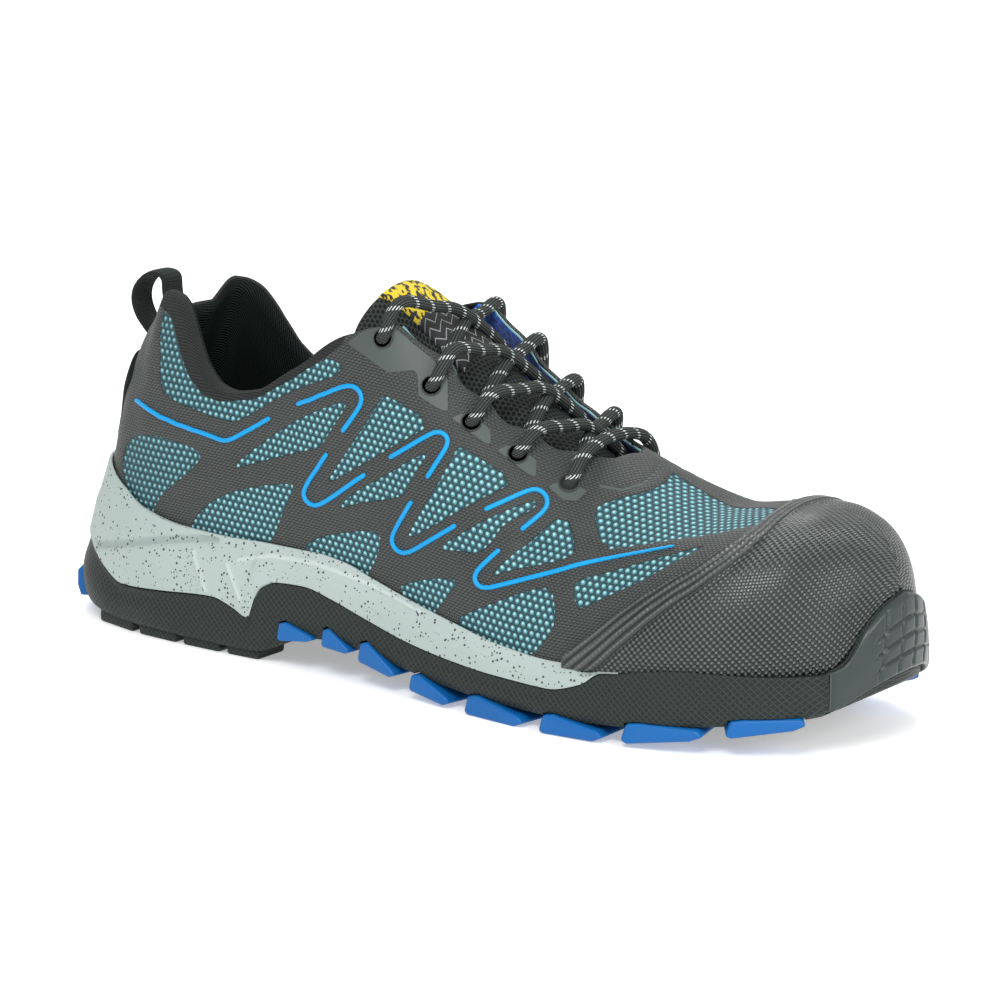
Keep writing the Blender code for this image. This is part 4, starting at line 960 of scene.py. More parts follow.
def corners_cut(points, times, closed):
    """Cuts each corner at a quarter of its sides, as often as told, which rounds it."""
    points = np.array(points, float)
    for _ in range(times):
        after = np.roll(points, -1, axis=0) if closed else points[1:]
        before = points if closed else points[:-1]
        cut = np.stack([before * 0.75 + after * 0.25, before * 0.25 + after * 0.75], 1)
        cut = cut.reshape(-1, *points.shape[1:])
        points = cut if closed else np.concatenate([points[:1], cut[1:-1], points[-1:]])
    return points


def line_distance(where, line, closed=False):
    """Distance of plan points from a polyline."""
    line = np.array(line, float)
    ends = np.roll(line, -1, axis=0) if closed else line[1:]
    starts = line if closed else line[:-1]
    best = np.full(len(where), 1e9)
    for a, b in zip(starts, ends):
        run = b - a
        share = np.clip(((where - a) @ run) / max(run @ run, 1e-12), 0, 1)
        best = np.minimum(best, np.linalg.norm(where - a - share[:, None] * run, axis=1))
    return best


def outside(where, outline):
    """Distance of plan points from an outline, negative inside it."""
    x, y = where.T
    inside = np.zeros(len(where), bool)
    for a, b in zip(outline, np.roll(outline, -1, axis=0)):
        crosses = (a[1] > y) != (b[1] > y)
        at = a[0] + (y - a[1]) * (b[0] - a[0]) / (b[1] - a[1] if b[1] != a[1] else 1e-9)
        inside ^= crosses & (x < at)
    return np.where(inside, -1, 1) * line_distance(where, outline, closed=True)


# Traces in the photograph's pixels. The upper is open mesh inside the windows and film elsewhere.
WINDOWS = {
    "collar": ((168, 301), (159.5, 326), (160, 356), (159.5, 386), (169.5, 399), (186, 406), (219, 419),
               (232.5, 422), (246, 417), (269, 402.5), (294, 389), (345.6, 372.4), (331.5, 356),
               (310.5, 366), (286, 383), (261, 393), (236, 398), (219, 398), (208, 392), (196, 384),
               (188.6, 370), (187, 353), (188.6, 339), (188.6, 323), (184, 310), (176, 301)),
    "ankle_sliver": ((227, 470), (262, 441), (290, 423), (320, 409), (346, 400), (345, 408), (330, 431),
                     (320, 448), (294, 453), (262, 461)),
    "first_bolt": ((386, 394), (432, 424), (403, 441), (383, 451), (352, 470), (324, 486), (342, 458),
                   (379, 400)),
    "second_sliver": ((431, 449), (409, 482), (403, 496), (383, 500), (362, 502), (335, 510), (354, 492),
                      (383, 476), (403, 464)),
    "second_bolt": ((461, 446), (516.5, 482), (485, 496), (456, 513), (432, 527), (405, 540), (413.5, 523),
                    (428, 500), (444, 472), (456, 449)),
    "third_sliver": ((537, 502), (534, 509), (505, 523), (491, 541), (477, 553.5), (456, 551), (436, 549),
                     (464.5, 531), (505, 510.6), (534, 500)),
    "third_bolt": ((566, 511), (576, 548), (569, 557), (542.5, 564), (512, 569), (488, 577), (498, 567.5),
                   (524.6, 542.5)),
    "heel_low": ((129.6, 437.5), (149, 434), (181, 443), (202, 455), (185, 475), (167, 489), (156, 502),
                 (151, 520), (137, 512), (128, 495), (122.5, 477), (123, 454)),
    "arch_low": ((188, 532), (199, 511), (221, 495), (256, 486), (292, 483), (293, 489), (281, 516),
                 (271, 545), (240, 550)),
    "waist_low": ((301, 549), (318, 537), (354, 531), (379, 531), (379, 553.5), (362, 585), (330, 580)),
    "joint_low": ((394, 588), (415.5, 581), (436, 578), (460, 580), (444, 600), (430, 618)),
    "ball_low": ((451, 621), (483, 606.5), (526, 590), (551, 586), (556, 616), (551, 632), (528, 660),
                 (480, 650)),
    "toe_low": ((574, 580), (605, 573), (641, 562), (694, 548), (712, 542.5), (676, 560), (650, 576),
                (623, 589), (587, 605), (577, 610), (573, 596)),
    "vamp": ((592, 509), (613, 499), (646, 492), (666, 482), (674, 471), (676, 440), (800, 440), (800, 505),
             (786, 517.6), (760, 523), (712, 534), (676, 539), (632, 546), (603, 549.6)),
}
PLATES = {
    "top": ((346, 343), (360, 332), (378.5, 325), (393, 325), (415, 345), (431, 357), (439, 366),
            (448, 379), (448, 412), (439, 409), (418.5, 396), (417, 373), (414, 370), (388, 373)),
    "third": ((451, 418), (461, 413), (474, 414), (491, 430), (491, 445), (483, 442), (465, 428)),
    "fourth": ((497, 450), (507, 445), (519, 447), (537, 460), (536, 477), (528, 474), (511, 461)),
    "fifth": ((547, 486), (560, 481), (573, 482), (588, 491), (577, 501), (563, 500)),
    "arc": ((598, 487), (622, 491), (643, 485), (658, 472.5), (664.5, 458), (661.5, 457), (655, 470.5),
            (641.5, 482), (622, 487.7), (599, 483.7)),
}
KNIT = ((150, 285), (176, 299), (184, 309), (188.6, 323), (188.6, 339), (187, 353), (188.6, 370), (196, 384),
        (208, 392), (219, 398), (236, 398), (261, 393), (286, 383), (310.5, 366), (331.5, 354), (348, 338),
        (345, 300), (250, 240))
RAISED_LINES = {
    "heel": ((135.5, 400), (156, 414), (183, 427), (211, 437), (224, 442), (229, 441.5), (269, 419)),
    "first_over": ((296, 406), (342, 387), (350, 385.5), (358, 388), (363, 397), (361, 406), (342, 432)),
    "first_under": ((327, 453.5), (304, 488), (303, 496), (307, 503.5), (314.5, 506.5), (322, 504.5),
                    (365.5, 474)),
    "second_over": ((390, 457.6), (430, 434), (439, 430.6), (446, 434), (449, 441), (447, 447), (427, 478)),
    "second_under": ((412, 501), (392, 535), (392, 543), (397, 551), (404, 553.5), (411, 552), (456, 525)),
    "third_over": ((485, 509.6), (526, 491), (537, 488), (546, 494), (549, 502), (545, 511), (521, 530)),
    "third_under": ((500, 549), (477, 570), (474, 578), (477, 585), (483, 588), (491, 587.5), (560, 570),
                    (587, 562), (675, 545.7)),
}
RAISED_WIDTH = 1.45 * MM
RAISED_HEIGHT = 0.7 * MM
FILM_WALL = 0.45 * MM

# Creases and soft ridges of the upper: from and to as shares of LAST_LENGTH and of the rib's run, and
# width and depth in millimetres. A minus depth is a ridge.
CREASES = (
    (0.560, 0.42, 0.640, 0.56, 4.0, 0.9),
    (0.600, 0.30, 0.665, 0.42, 4.5, 0.8),
    (0.630, 0.55, 0.700, 0.62, 4.0, 0.7),
    (0.430, 0.62, 0.470, 0.30, 7.0, 0.7),
    (0.170, 0.55, 0.300, 0.62, 6.0, 0.8),
    (0.110, 0.40, 0.180, 0.62, 5.0, 0.6),
    (0.520, 0.50, 0.600, 0.62, 5.0, -0.6),
)
SKIN_STATIONS = 300
SKIN_ROWS = 86
SCALLOP = 2.4 * MM
ROLL_ROWS = 9
# Share of the ribs that the knit roll takes along the collar.
KNIT_ROLL = 0.055
LINING_STEPS = 20
# Rows past the top line at which the lining and the throat's blue lining begin, rows of the blue past the
# roll, and the share of LAST_LENGTH from which it shows.
LINING_FIRST = 4
BLUE_FIRST = 6
BLUE_ROWS = 7
BLUE_FROM = 0.42
DOT_PITCH = 2.4
# Length of a rib in millimetres where the collar's roll and the creases are laid out by its share.
RIB_MM = 80.0
# How square to the camera the outer side has to stand for its traces to hold.
FACING_LEAST = 0.02
# Film down the middle of the toe: its reach towards the outer side at the throat and, after its run, at the
# cap, and its reach towards the inner side.
SPINE_NEAR = 0.5 * MM
SPINE_CAP = 6.0 * MM
SPINE_RUN = 55 * MM
SPINE_FAR = 11.5 * MM


def section_girth():
    """Length up the last's section from the outline, over even shares of the length and of the turn."""
    along = np.linspace(0, 1, 241)
    turn = np.linspace(0, 90, 91)
    turned = np.radians(turn)[None, :]
    size = last_values(along)
    square = size["square"][:, None]
    out = np.cos(turned).clip(0, 1) ** (2 / square) * size["half"][:, None]
    rise = np.sin(turned).clip(0, 1) ** (2 / square) * (size["crown"] - size["feather"])[:, None]
    steps = np.hypot(np.diff(out, axis=1), np.diff(rise, axis=1))
    return along, turn, np.concatenate([np.zeros((len(along), 1)), np.cumsum(steps, axis=1)], 1)


GIRTH = section_girth()
OUTLINE_ALONG = (1 - np.cos(math.pi * FINE)) / 2
OUTLINE_LENGTH = np.linalg.norm(np.diff(last_outline(OUTLINE_ALONG, -1.0), axis=0), axis=1).sum()


# Third value of the lay on the inner side, which is 0 on the outer one.
MEDIAL_LAY = 50.0


def lay_of(points):
    """Place on the unrolled upper in millimetres: along the outline, and up the section."""
    size, offset, out = section_at(points[:, 0], points[:, 1])
    share = np.clip((points[:, 0] - LAST_START) / LAST_LENGTH, 0, 1)
    turn = np.degrees(np.arccos(out ** (size["square"] / 2)))
    along, turns, girth = GIRTH
    a = np.clip(share * (len(along) - 1), 0, len(along) - 1.001)
    t = np.clip(turn / 90 * (len(turns) - 1), 0, len(turns) - 1.001)
    i, j = a.astype(int), t.astype(int)
    da, dt = a - i, t - j
    up = ((girth[i, j] * (1 - da) + girth[i + 1, j] * da) * (1 - dt)
          + (girth[i, j + 1] * (1 - da) + girth[i + 1, j + 1] * da) * dt)
    run = np.interp(share, OUTLINE_ALONG, OUTLINE_RUN) * OUTLINE_LENGTH
    return np.stack([run / MM, up / MM, np.where(offset < 0, 0.0, MEDIAL_LAY)], -1)


class Skin:
    """The upper's outer surface in full detail: a closed ring of ribs, in rows from outline to top line."""

    def __init__(self):
        self.along, self.side = around(even_stations(SKIN_STATIONS))
        self.ribs = fine_ribs(self.along, self.side)
        count = len(self.ribs)
        self.grid = resample(self.ribs, np.zeros(count), np.ones(count), SKIN_ROWS)
        self.share = np.linspace(0, 1, SKIN_ROWS)
        self.mirror = (-np.arange(count)) % count
        self.lateral = self.side < 0
        self.head_along = (self.grid[-1, :, 0] - LAST_START) / LAST_LENGTH
        self.lay = lay_of(self.grid.reshape(-1, 3)).reshape(self.grid.shape)
        self.scallop_edge()
        self.normal = grid_normals(self.grid)
        seen = to_pixels(self.grid[:, self.lateral].reshape(-1, 3)).reshape(SKIN_ROWS, -1, 2)
        toward = EYE - self.grid[:, self.lateral]
        facing = (toward * self.normal[:, self.lateral]).sum(-1) / np.linalg.norm(toward, axis=-1)
        window = self.nearest(seen, WINDOWS, 1)
        window = np.where(facing < FACING_LEAST, np.maximum(window, 3.0), window)
        self.window = np.maximum(self.both(window), self.spine())
        self.plate = self.both(self.nearest(seen, PLATES, 0))
        knit = outside(seen.reshape(-1, 2), corners_cut(KNIT, 1, True)).reshape(SKIN_ROWS, -1)
        back = (self.grid[:, self.lateral, 0] < -20 * MM) & (self.share[:, None] > 0.93)
        knit = np.where((facing < FACING_LEAST) & back, -3.0, knit)
        collar = soft((0.37 - self.head_along[self.lateral]) / 0.04)
        roll = (1 - KNIT_ROLL * collar - self.share[:, None]) * RIB_MM
        knit = np.where(collar > 0, np.minimum(knit, roll), knit)
        self.knit = self.both(knit)
        self.crease()
        film = soft((self.window + 1.5) / 3) * (1 - soft((2 - self.plate) / 2) * 0.35)
        film = np.where(self.knit < 0, 1.0, film)
        self.grid = self.grid + self.normal * ((film - 1) * FILM_WALL)[..., None]

    def spine(self):
        """How far points lie inside the film that runs down the middle of the toe, in millimetres."""
        middle = self.grid[::-1, int(np.argmax(self.along))]
        x = self.grid[..., 0]
        start = middle[0, 0]
        aside = self.grid[..., 1] - np.interp(x, middle[:, 0], middle[:, 1])
        near = SPINE_NEAR + (SPINE_CAP - SPINE_NEAR) * np.clip((x - start) / SPINE_RUN, 0, 1) ** 2
        inside = np.minimum(aside + near, SPINE_FAR - aside) / MM
        return np.where(x > start - 5 * MM, inside, -9.0)

    def scallop_edge(self):
        """Waves the throat's edge out beside each eyelet."""
        knots = LAST_START + np.array(EYELETS)[:, 0] * LAST_LENGTH
        x = self.grid[-1, :, 0]
        phase = np.interp(x, knots, np.arange(len(knots)), left=-0.5, right=len(knots) - 0.5)
        wave = (0.5 + 0.5 * np.cos(2 * math.pi * phase)) * SCALLOP
        wave = wave * soft((x - knots[0] + 14 * MM) / (10 * MM))
        wave = wave * soft((knots[-1] + 10 * MM - x) / (8 * MM))
        share = soft((self.share - 0.90) / 0.10)[:, None, None]
        self.grid = self.grid + self.edge_rise()[None] * wave[None, :, None] * share

    def edge_rise(self):
        """Directions in which the ribs run out over the top line."""
        return unit(self.grid[-1] - self.grid[-3])

    def nearest(self, seen, traces, rounds):
        flat = seen.reshape(-1, 2)
        best = np.full(len(flat), 1e9)
        for trace in traces.values():
            best = np.minimum(best, outside(flat, corners_cut(trace, rounds, True)))
        return best.reshape(seen.shape[:2])

    def both(self, lateral_values):
        """Carries values of the lateral stations over to the medial ones that face them."""
        values = np.zeros((SKIN_ROWS, len(self.along)))
        values[:, self.lateral] = lateral_values
        last = int(self.lateral.sum())
        for i in range(last, len(self.along)):
            values[:, i] = values[:, self.mirror[i]]
        return values

    def crease(self):
        """Presses the listed creases in and lifts the ridges."""
        size = self.grid.shape[:2]
        along = (self.grid[..., 0] - LAST_START) / LAST_LENGTH
        where = np.stack([along, np.broadcast_to(self.share[:, None], size)], -1).reshape(-1, 2)
        scale = np.array([LAST_LENGTH / MM, RIB_MM])
        for *ends, width, depth in CREASES:
            away = line_distance(where * scale, np.reshape(ends, (2, 2)) * scale).reshape(size)
            self.grid = self.grid - self.normal * (depth * MM * np.exp(-(away / width) ** 2))[..., None]

    def tree(self):
        """The lateral half for ray casts, with its columns and rows."""
        columns = int(self.lateral.sum())
        points = self.grid[:, :columns].reshape(-1, 3)
        return BVHTree.FromPolygons([Vector(p) for p in points], grid_faces(SKIN_ROWS, columns)), columns

    def trace(self, pixels):
        """Rows and columns, with their fractions, at which pixels of the photograph meet the lateral half."""
        if not hasattr(self, "found_tree"):
            self.found_tree = self.tree()
        tree, columns = self.found_tree
        found = []
        for pixel in pixels:
            hit, _, face, _ = tree.ray_cast(Vector(EYE), sight(pixel))
            if hit is None:
                continue
            row, column = divmod(face, columns - 1)
            corner = self.grid[row, column]
            ahead, up = self.grid[row, column + 1] - corner, self.grid[row + 1, column] - corner
            step = np.array(hit) - corner
            found.append((row + np.clip(step @ up / (up @ up), 0, 1),
                          column + np.clip(step @ ahead / (ahead @ ahead), 0, 1)))
        return np.array(found)

    def at(self, places, side):
        """Points and normals at rows and columns of the lateral half, or of the side facing it."""
        row, column = places[:, 0], places[:, 1]
        r, c = row.astype(int).clip(0, SKIN_ROWS - 2), column.astype(int)
        dr, dc = (row - r)[:, None], (column - c)[:, None]
        if side < 0:
            first, second = c, c + 1
        else:
            first, second = self.mirror[c], self.mirror[(c + 1) % len(self.along)]
        found = []
        for values in (self.grid, self.normal):
            low = values[r, first] * (1 - dc) + values[r, second] * dc
            high = values[r + 1, first] * (1 - dc) + values[r + 1, second] * dc
            found.append(low * (1 - dr) + high * dr)
        return found[0], unit(found[1])


def mean_weights(reach):
    """Weights of a running mean that reaches so many places each way."""
    weights = np.hanning(2 * reach + 1)
    return weights / weights.sum()


def smoothed_round(rows, reach):
    """A running mean round each closed ring."""
    weights = mean_weights(reach)
    return sum(w * np.roll(rows, k - reach, axis=1) for k, w in enumerate(weights))


def build_skin(skin, outer_paint, lining_paint, throat_paint):
    """The whole upper: outer surface, rolled edge and lining."""
    count = len(skin.along)
    wall = upper_wall_at(skin.share[:, None], skin.head_along[None, :])[..., None]
    inner = skin.grid - skin.normal * wall
    inner[0, :, 2] = skin.grid[0, :, 2]
    inner = smoothed_round(inner, 9)
    edge, lining_edge = skin.grid[-1], inner[-1]
    middle, reach = (edge + lining_edge) / 2, (edge - lining_edge) / 2
    rise = skin.edge_rise()
    roll = [middle + reach * math.cos(turn) + rise * wall[-1] / 2 * math.sin(turn)
            for turn in np.linspace(0, math.pi, ROLL_ROWS + 2)[1:-1]]
    picked = np.linspace(SKIN_ROWS - 1, 0, LINING_STEPS).round().astype(int)
    lining = inner[picked]
    points = np.concatenate([skin.grid, np.array(roll), lining])
    rows = len(points)
    faces = grid_faces(rows, count, closed=True)
    face_row = np.repeat(np.arange(rows - 1), count)
    face_column = np.tile(np.arange(count), rows - 1)
    picks = np.where(face_row >= SKIN_ROWS + LINING_FIRST, 1, 0)
    throat = (skin.head_along[face_column] > BLUE_FROM) & (face_row >= SKIN_ROWS + BLUE_FIRST)
    throat = throat & (face_row < SKIN_ROWS + ROLL_ROWS + BLUE_ROWS)
    picks = np.where(throat, 2, picks)
    paints = [outer_paint, lining_paint, throat_paint]
    piece = make_piece("upper_skin", points, faces, paints, picks)
    extra = rows - SKIN_ROWS
    lay = np.concatenate([skin.lay, np.repeat(skin.lay[-1:], extra, 0)])
    depth = np.cumsum(np.linalg.norm(np.diff(points[SKIN_ROWS - 1:], axis=0), axis=-1), axis=0) / MM
    lay[SKIN_ROWS:, :, 1] += depth
    store(piece, "lay", lay.reshape(-1, 3))
    outside_all = np.full((1, count), 9.0)
    for name, values, tail in (("window", skin.window, outside_all), ("plate", skin.plate, outside_all),
                               ("knit", skin.knit, skin.knit[-1:])):
        store(piece, name, np.concatenate([values, np.repeat(tail, extra, 0)]).ravel())
    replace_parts(piece, "upper")


def smoothed(values, reach):
    """A running mean along the first axis that keeps the ends where they are."""
    weights = mean_weights(reach)
    start, end = values[:1], values[-1:]
    padded = np.concatenate([2 * start - values[reach:0:-1], values, 2 * end - values[-2:-reach - 2:-1]])
    return np.stack([np.convolve(padded[:, k], weights, "valid") for k in range(values.shape[1])], -1)


# Section of a raised line as shares of its width and height, spacing of its points in the photograph's
# pixels, and the line that thins towards its end: from which share of its run, and to which share.
LINE_PROFILE = ((-0.5, -0.25), (-0.5, 0.45), (-0.36, 0.86), (0, 1.0), (0.36, 0.86), (0.5, 0.45), (0.5, -0.25))
LINE_SPACING = 1.8
THIN_LINE = "third_under"
THIN_FROM = 0.62
THIN_END = 0.42


def build_raised_lines(skin, paint):
    """The raised trim lines of both sides."""
    points, faces = [], []
    for name, trace in RAISED_LINES.items():
        fine = corners_cut(trace, 2, False)
        run = run_of(fine)
        steps = max(16, int(np.linalg.norm(np.diff(fine, axis=0), axis=1).sum() / LINE_SPACING))
        spots = np.stack([np.interp(np.linspace(0, 1, steps), run, fine[:, k]) for k in (0, 1)], -1)
        places = smoothed(skin.trace(spots), 5)
        thin = np.ones(len(places))
        if name == THIN_LINE:
            thin = np.interp(np.linspace(0, 1, len(places)), [0, THIN_FROM, 1], [1, 1, THIN_END])
        for side in (-1, 1):
            path, normal = skin.at(places, side)
            across = np.cross(normal, unit(np.gradient(path, axis=0)))
            ends = np.minimum(np.arange(len(path)), np.arange(len(path))[::-1])
            tip = np.where(ends == 0, 0.55, 1.0)
            first = len(points)
            for share, lift in LINE_PROFILE:
                points.extend(path + across * (share * RAISED_WIDTH * thin * tip)[:, None]
                              + normal * (lift * RAISED_HEIGHT * np.where(ends == 0, 0.5, 1.0))[:, None])
            count = len(path)
            faces += grid_faces(len(LINE_PROFILE), count, first=first)
            faces.append([first + k * count for k in range(len(LINE_PROFILE))])
            faces.append([first + k * count + count - 1 for k in range(len(LINE_PROFILE))][::-1])
    make_piece("raised_lines", points, faces, [paint], angle=50)


def ring_piece(name, rows, paints, angle=None):
    """A piece from rings round the shoe, capped across its first and last rings."""
    rows = np.array(rows)
    count = rows.shape[1]
    faces = grid_faces(len(rows), count, closed=True)
    for first in (0, (len(rows) - 1) * count):
        for i in range(count // 2):
            corners = (i, i + 1, count - i - 1, (count - i) % count)
            # At heel and toe two of the four are one point, which makes a triangle.
            faces.append(tuple(first + k for k in dict.fromkeys(corners)))
    return make_piece(name, rows, faces, paints, angle=angle, weld=1e-6)


def plate_piece(name, inner, outer, paint):
    """A plate between two grids, its outer edge rounded over."""
    rows, columns = outer.shape[:2]
    count = rows * columns
    faces = grid_faces(rows, columns)
    faces += [tuple(count + k for k in quad[::-1]) for quad in faces]
    rim = ([(0, i) for i in range(columns)] + [(r, columns - 1) for r in range(1, rows)]
           + [(rows - 1, i) for i in range(columns - 2, -1, -1)] + [(r, 0) for r in range(rows - 2, 0, -1)])
    for (r, i), (s, j) in zip(rim, rim[1:] + rim[:1]):
        faces.append((r * columns + i, s * columns + j, count + s * columns + j, count + r * columns + i))
    points = np.concatenate([inner.reshape(-1, 3), outer.reshape(-1, 3)])
    return make_piece(name, points, faces, [paint])


def edge_round(rows, columns, reach):
    """A grid from 1 inside to 0 at the rim, over a number of cells."""
    r = np.minimum(np.arange(rows), np.arange(rows)[::-1])[:, None]
    c = np.minimum(np.arange(columns), np.arange(columns)[::-1])[None, :]
    inside = np.clip(np.minimum(r, c) / reach, 0, 1)
    return np.sqrt(1 - (1 - inside) ** 2)[..., None]


CAP_STATIONS = 300
CAP_ROWS = 60
CAP_BAND = 6.5 * MM
# Rear edge of the cap in the photograph's pixels, from the sole up to the ridge.
CAP_EDGE_TRACE = ((560, 660), (568, 655), (600, 632), (629, 609), (665, 586), (708, 563), (745, 537),
                  (785, 510), (798, 501))
CAP_EDGE_CROWN = 0.835
CAP_BAND_RISE = 0.55 * MM
# How far the cap tucks in behind the sole's edge.
CAP_TUCK = 1.6 * MM


def cap_edge(skin):
    """The cap's rear edge as shares of the length at turns up the section, from its trace."""
    places = skin.trace(corners_cut(CAP_EDGE_TRACE, 1, False))
    points, _ = skin.at(places, -1)
    share = (points[:, 0] - LAST_START) / LAST_LENGTH
    size = last_values(share)
    offset = np.abs(points[:, 1] - size["bend"] - size["ridge"])
    out = np.clip(offset / (size["half"] + size["ridge"]), 0, 1)
    turn = np.degrees(np.arccos(out ** (size["square"] / 2)))
    order = np.argsort(turn)
    share, turn = share[order], turn[order]
    top = max(share[-1], CAP_EDGE_CROWN)
    return np.concatenate([[share[0]], share, [top]]), np.concatenate([[0.0], turn, [90.0]])


def cap_edge_share(ribs, side, edge):
    """Share of each rib's run at which it leaves the toe cap through the cap's rear edge."""
    edge_along, edge_turn = edge
    along = (ribs[..., 0] - LAST_START) / LAST_LENGTH
    size = last_values(np.clip(along, 0, 1))
    offset = (ribs[..., 1] - size["bend"] - size["ridge"]) * side[:, None]
    reach = np.maximum(size["half"] - side[:, None] * size["ridge"], 1e-6)
    turn = np.degrees(np.arccos(np.clip(offset / reach, 0, 1) ** (size["square"] / 2)))
    return rib_share_at(ribs, along < np.interp(turn, edge_turn, edge_along))


def build_toe_cap(skin, paint):
    """Woven cap over the toe, with the ridged band behind its rear edge."""
    along, side = around(even_stations(CAP_STATIONS))
    ribs = fine_ribs(along, side)
    high = cap_edge_share(ribs, side, cap_edge(skin))
    foam = np.where(along < RUBBER_SOLID, side_height("cup", along), 0)
    rim = np.maximum(side_height("seam", along), foam) - CAP_TUCK
    low = rib_share_at(ribs, ribs[..., 2] > rim[:, None])
    covered = np.where((high - low > 0.012) & (along > 0.5))[0]
    ends = smoothed(np.stack([low[covered], high[covered]], -1), 5)
    grid = resample(ribs[covered], ends[:, 0], ends[:, 1], CAP_ROWS)
    normal = grid_normals(grid, closed=False)
    edge = grid[-1].copy()
    away = line_distance(grid[..., :2].reshape(-1, 2), edge[:, :2]).reshape(grid.shape[:2])
    fall = np.abs(grid[..., 2] - edge[None, :, 2])
    band = np.hypot(away, fall * 0.5)
    wall = TOE_CAP_WALL * edge_round(*grid.shape[:2], 2)
    raised = CAP_BAND_RISE * (soft((CAP_BAND - band) / (0.6 * MM)))[..., None]
    outer = grid + normal * (CAP_GAP + wall + raised * (wall / TOE_CAP_WALL))
    piece = plate_piece("toe_cap_skin", grid + normal * CAP_GAP * 0.3, outer, paint)
    lay = lay_of(grid.reshape(-1, 3))
    store(piece, "lay", np.concatenate([lay, lay]))
    store(piece, "band", np.tile(band.ravel() / MM, 2))
    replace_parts(piece, "toe_cap")


COUNTER_FINE = (48, 48)
COUNTER_SPREAD = 1.28


def build_counter(paint):
    """Smooth plate round the heel, softly thicker up its middle."""
    shape = corners_cut(COUNTER_SHAPE, 2, False)
    foot = side_height("cup", 0.0) + COUNTER_LIFT
    head = heel_crest()[1] - COUNTER_DROP
    rows, columns = COUNTER_FINE
    height = np.linspace(0, 1, rows)
    half = np.interp(height, shape[:, 0], shape[:, 1]) * COUNTER_HALF * COUNTER_SPREAD
    y = half[:, None] * np.linspace(1, -1, columns)[None, :]
    z = (foot + height * (head - foot))[:, None] + 0 * y
    grid = np.stack([heel_depth(y, z), y, z], -1)
    normal = grid_normals(grid, closed=False)
    lift = COUNTER_WALL * edge_round(rows, columns, 4)
    piece = plate_piece("counter_plate", grid, grid + normal * (GAP + lift), paint)
    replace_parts(piece, "heel_counter")


BUMPER_ROWS = 64
BUMPER_STATIONS = 640
# Grooves of the bumper: shares of its height for those across and of its half width for those up, and the
# lean and the half width of each kind.
GROOVES_ACROSS = (0.28, 0.50, 0.72)
GROOVES_UP = (-0.45, -0.20, 0.05, 0.30, 0.55)
ACROSS_LEAN = 0.06
UP_LEAN = 0.16
ACROSS_WIDTH = 0.020
UP_WIDTH = 0.016
GROOVE_DEPTH = 0.9 * MM


def build_bumper(sole, paint):
    """Rubber shield at the tip of the toe with grooves across it."""
    tip = sole_outline(np.array([1.0]), 1.0)[0, 1]
    across = np.abs(sole.foot[:, 1] - tip)
    first = np.where((across < BUMPER_HALF) & (sole.along > 0.9))[0]
    share = np.clip(across[first] / BUMPER_HALF, 0, 1)
    signed = (sole.foot[first, 1] - tip) / BUMPER_HALF
    low = sole.under[first] + 0.8 * MM + BUMPER_LIFT * (1 - share ** 2)
    high = sole.seam[first] - 0.4 * MM
    wall = BUMPER_WALL * (1 - 0.75 * share ** 3) + BUMPER_PROUD * (1 - share ** 2)
    inner, outer = [], []
    for step in np.linspace(0, 1, BUMPER_ROWS):
        full = np.zeros(len(sole.along))
        full[first] = low + (high - low) * step
        back = sole.toe_share(full)
        inner.append(sole.ring(back + (GAP / sole.reach), full)[first])
        grooves = np.zeros(len(first))
        for place in GROOVES_ACROSS:
            grooves = grooves + np.exp(-((step - place - ACROSS_LEAN * signed) / ACROSS_WIDTH) ** 2)
        for place in GROOVES_UP:
            grooves = grooves + np.exp(-((signed - place - UP_LEAN * (step - 0.5)) / UP_WIDTH) ** 2)
        grooves = np.clip(grooves, 0, 1) * soft((0.66 - np.abs(signed - 0.08)) / 0.1) * soft(step / 0.15)
        grooves = grooves * soft((1 - step) / 0.12)
        lean = np.zeros(len(sole.along))
        lean[first] = (wall * (1 - 0.35 * step ** 2) - GROOVE_DEPTH * grooves) / sole.reach[first]
        outer.append(sole.ring(back + (GAP / sole.reach) + lean, full)[first])
    inner, outer = np.array(inner), np.array(outer)
    rounded = edge_round(*outer.shape[:2], 4)
    piece = plate_piece("bumper_shield", inner, inner + (outer - inner) * rounded, paint)
    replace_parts(piece, "toe_bumper")


FOAM_TIP = 3 * MM
FOAM_TAPER = 16 * MM
FOAM_STATIONS = 460
# The heel's soft crease and the raised edges of the foam: places along the shoe and above the floor, in
# millimetres, with the half widths of the crease and of the edges.
FOAM_CREASE = ((-58, 21), (-31, 27), (-22, 29.4), (-7, 33), (6, 35.4), (16, 37))
FOAM_EDGES = (((9, 32), (12.5, 25.5), (16, 17.5)), ((23, 30), (26, 25), (28.5, 19.5)),
              ((27, 32), (39.5, 35.4), (57, 35.7), (71, 33.9), (84, 31.7), (100, 28)))
FOAM_CREASE_WIDTH = 1.3
FOAM_EDGE_WIDTH = 0.75


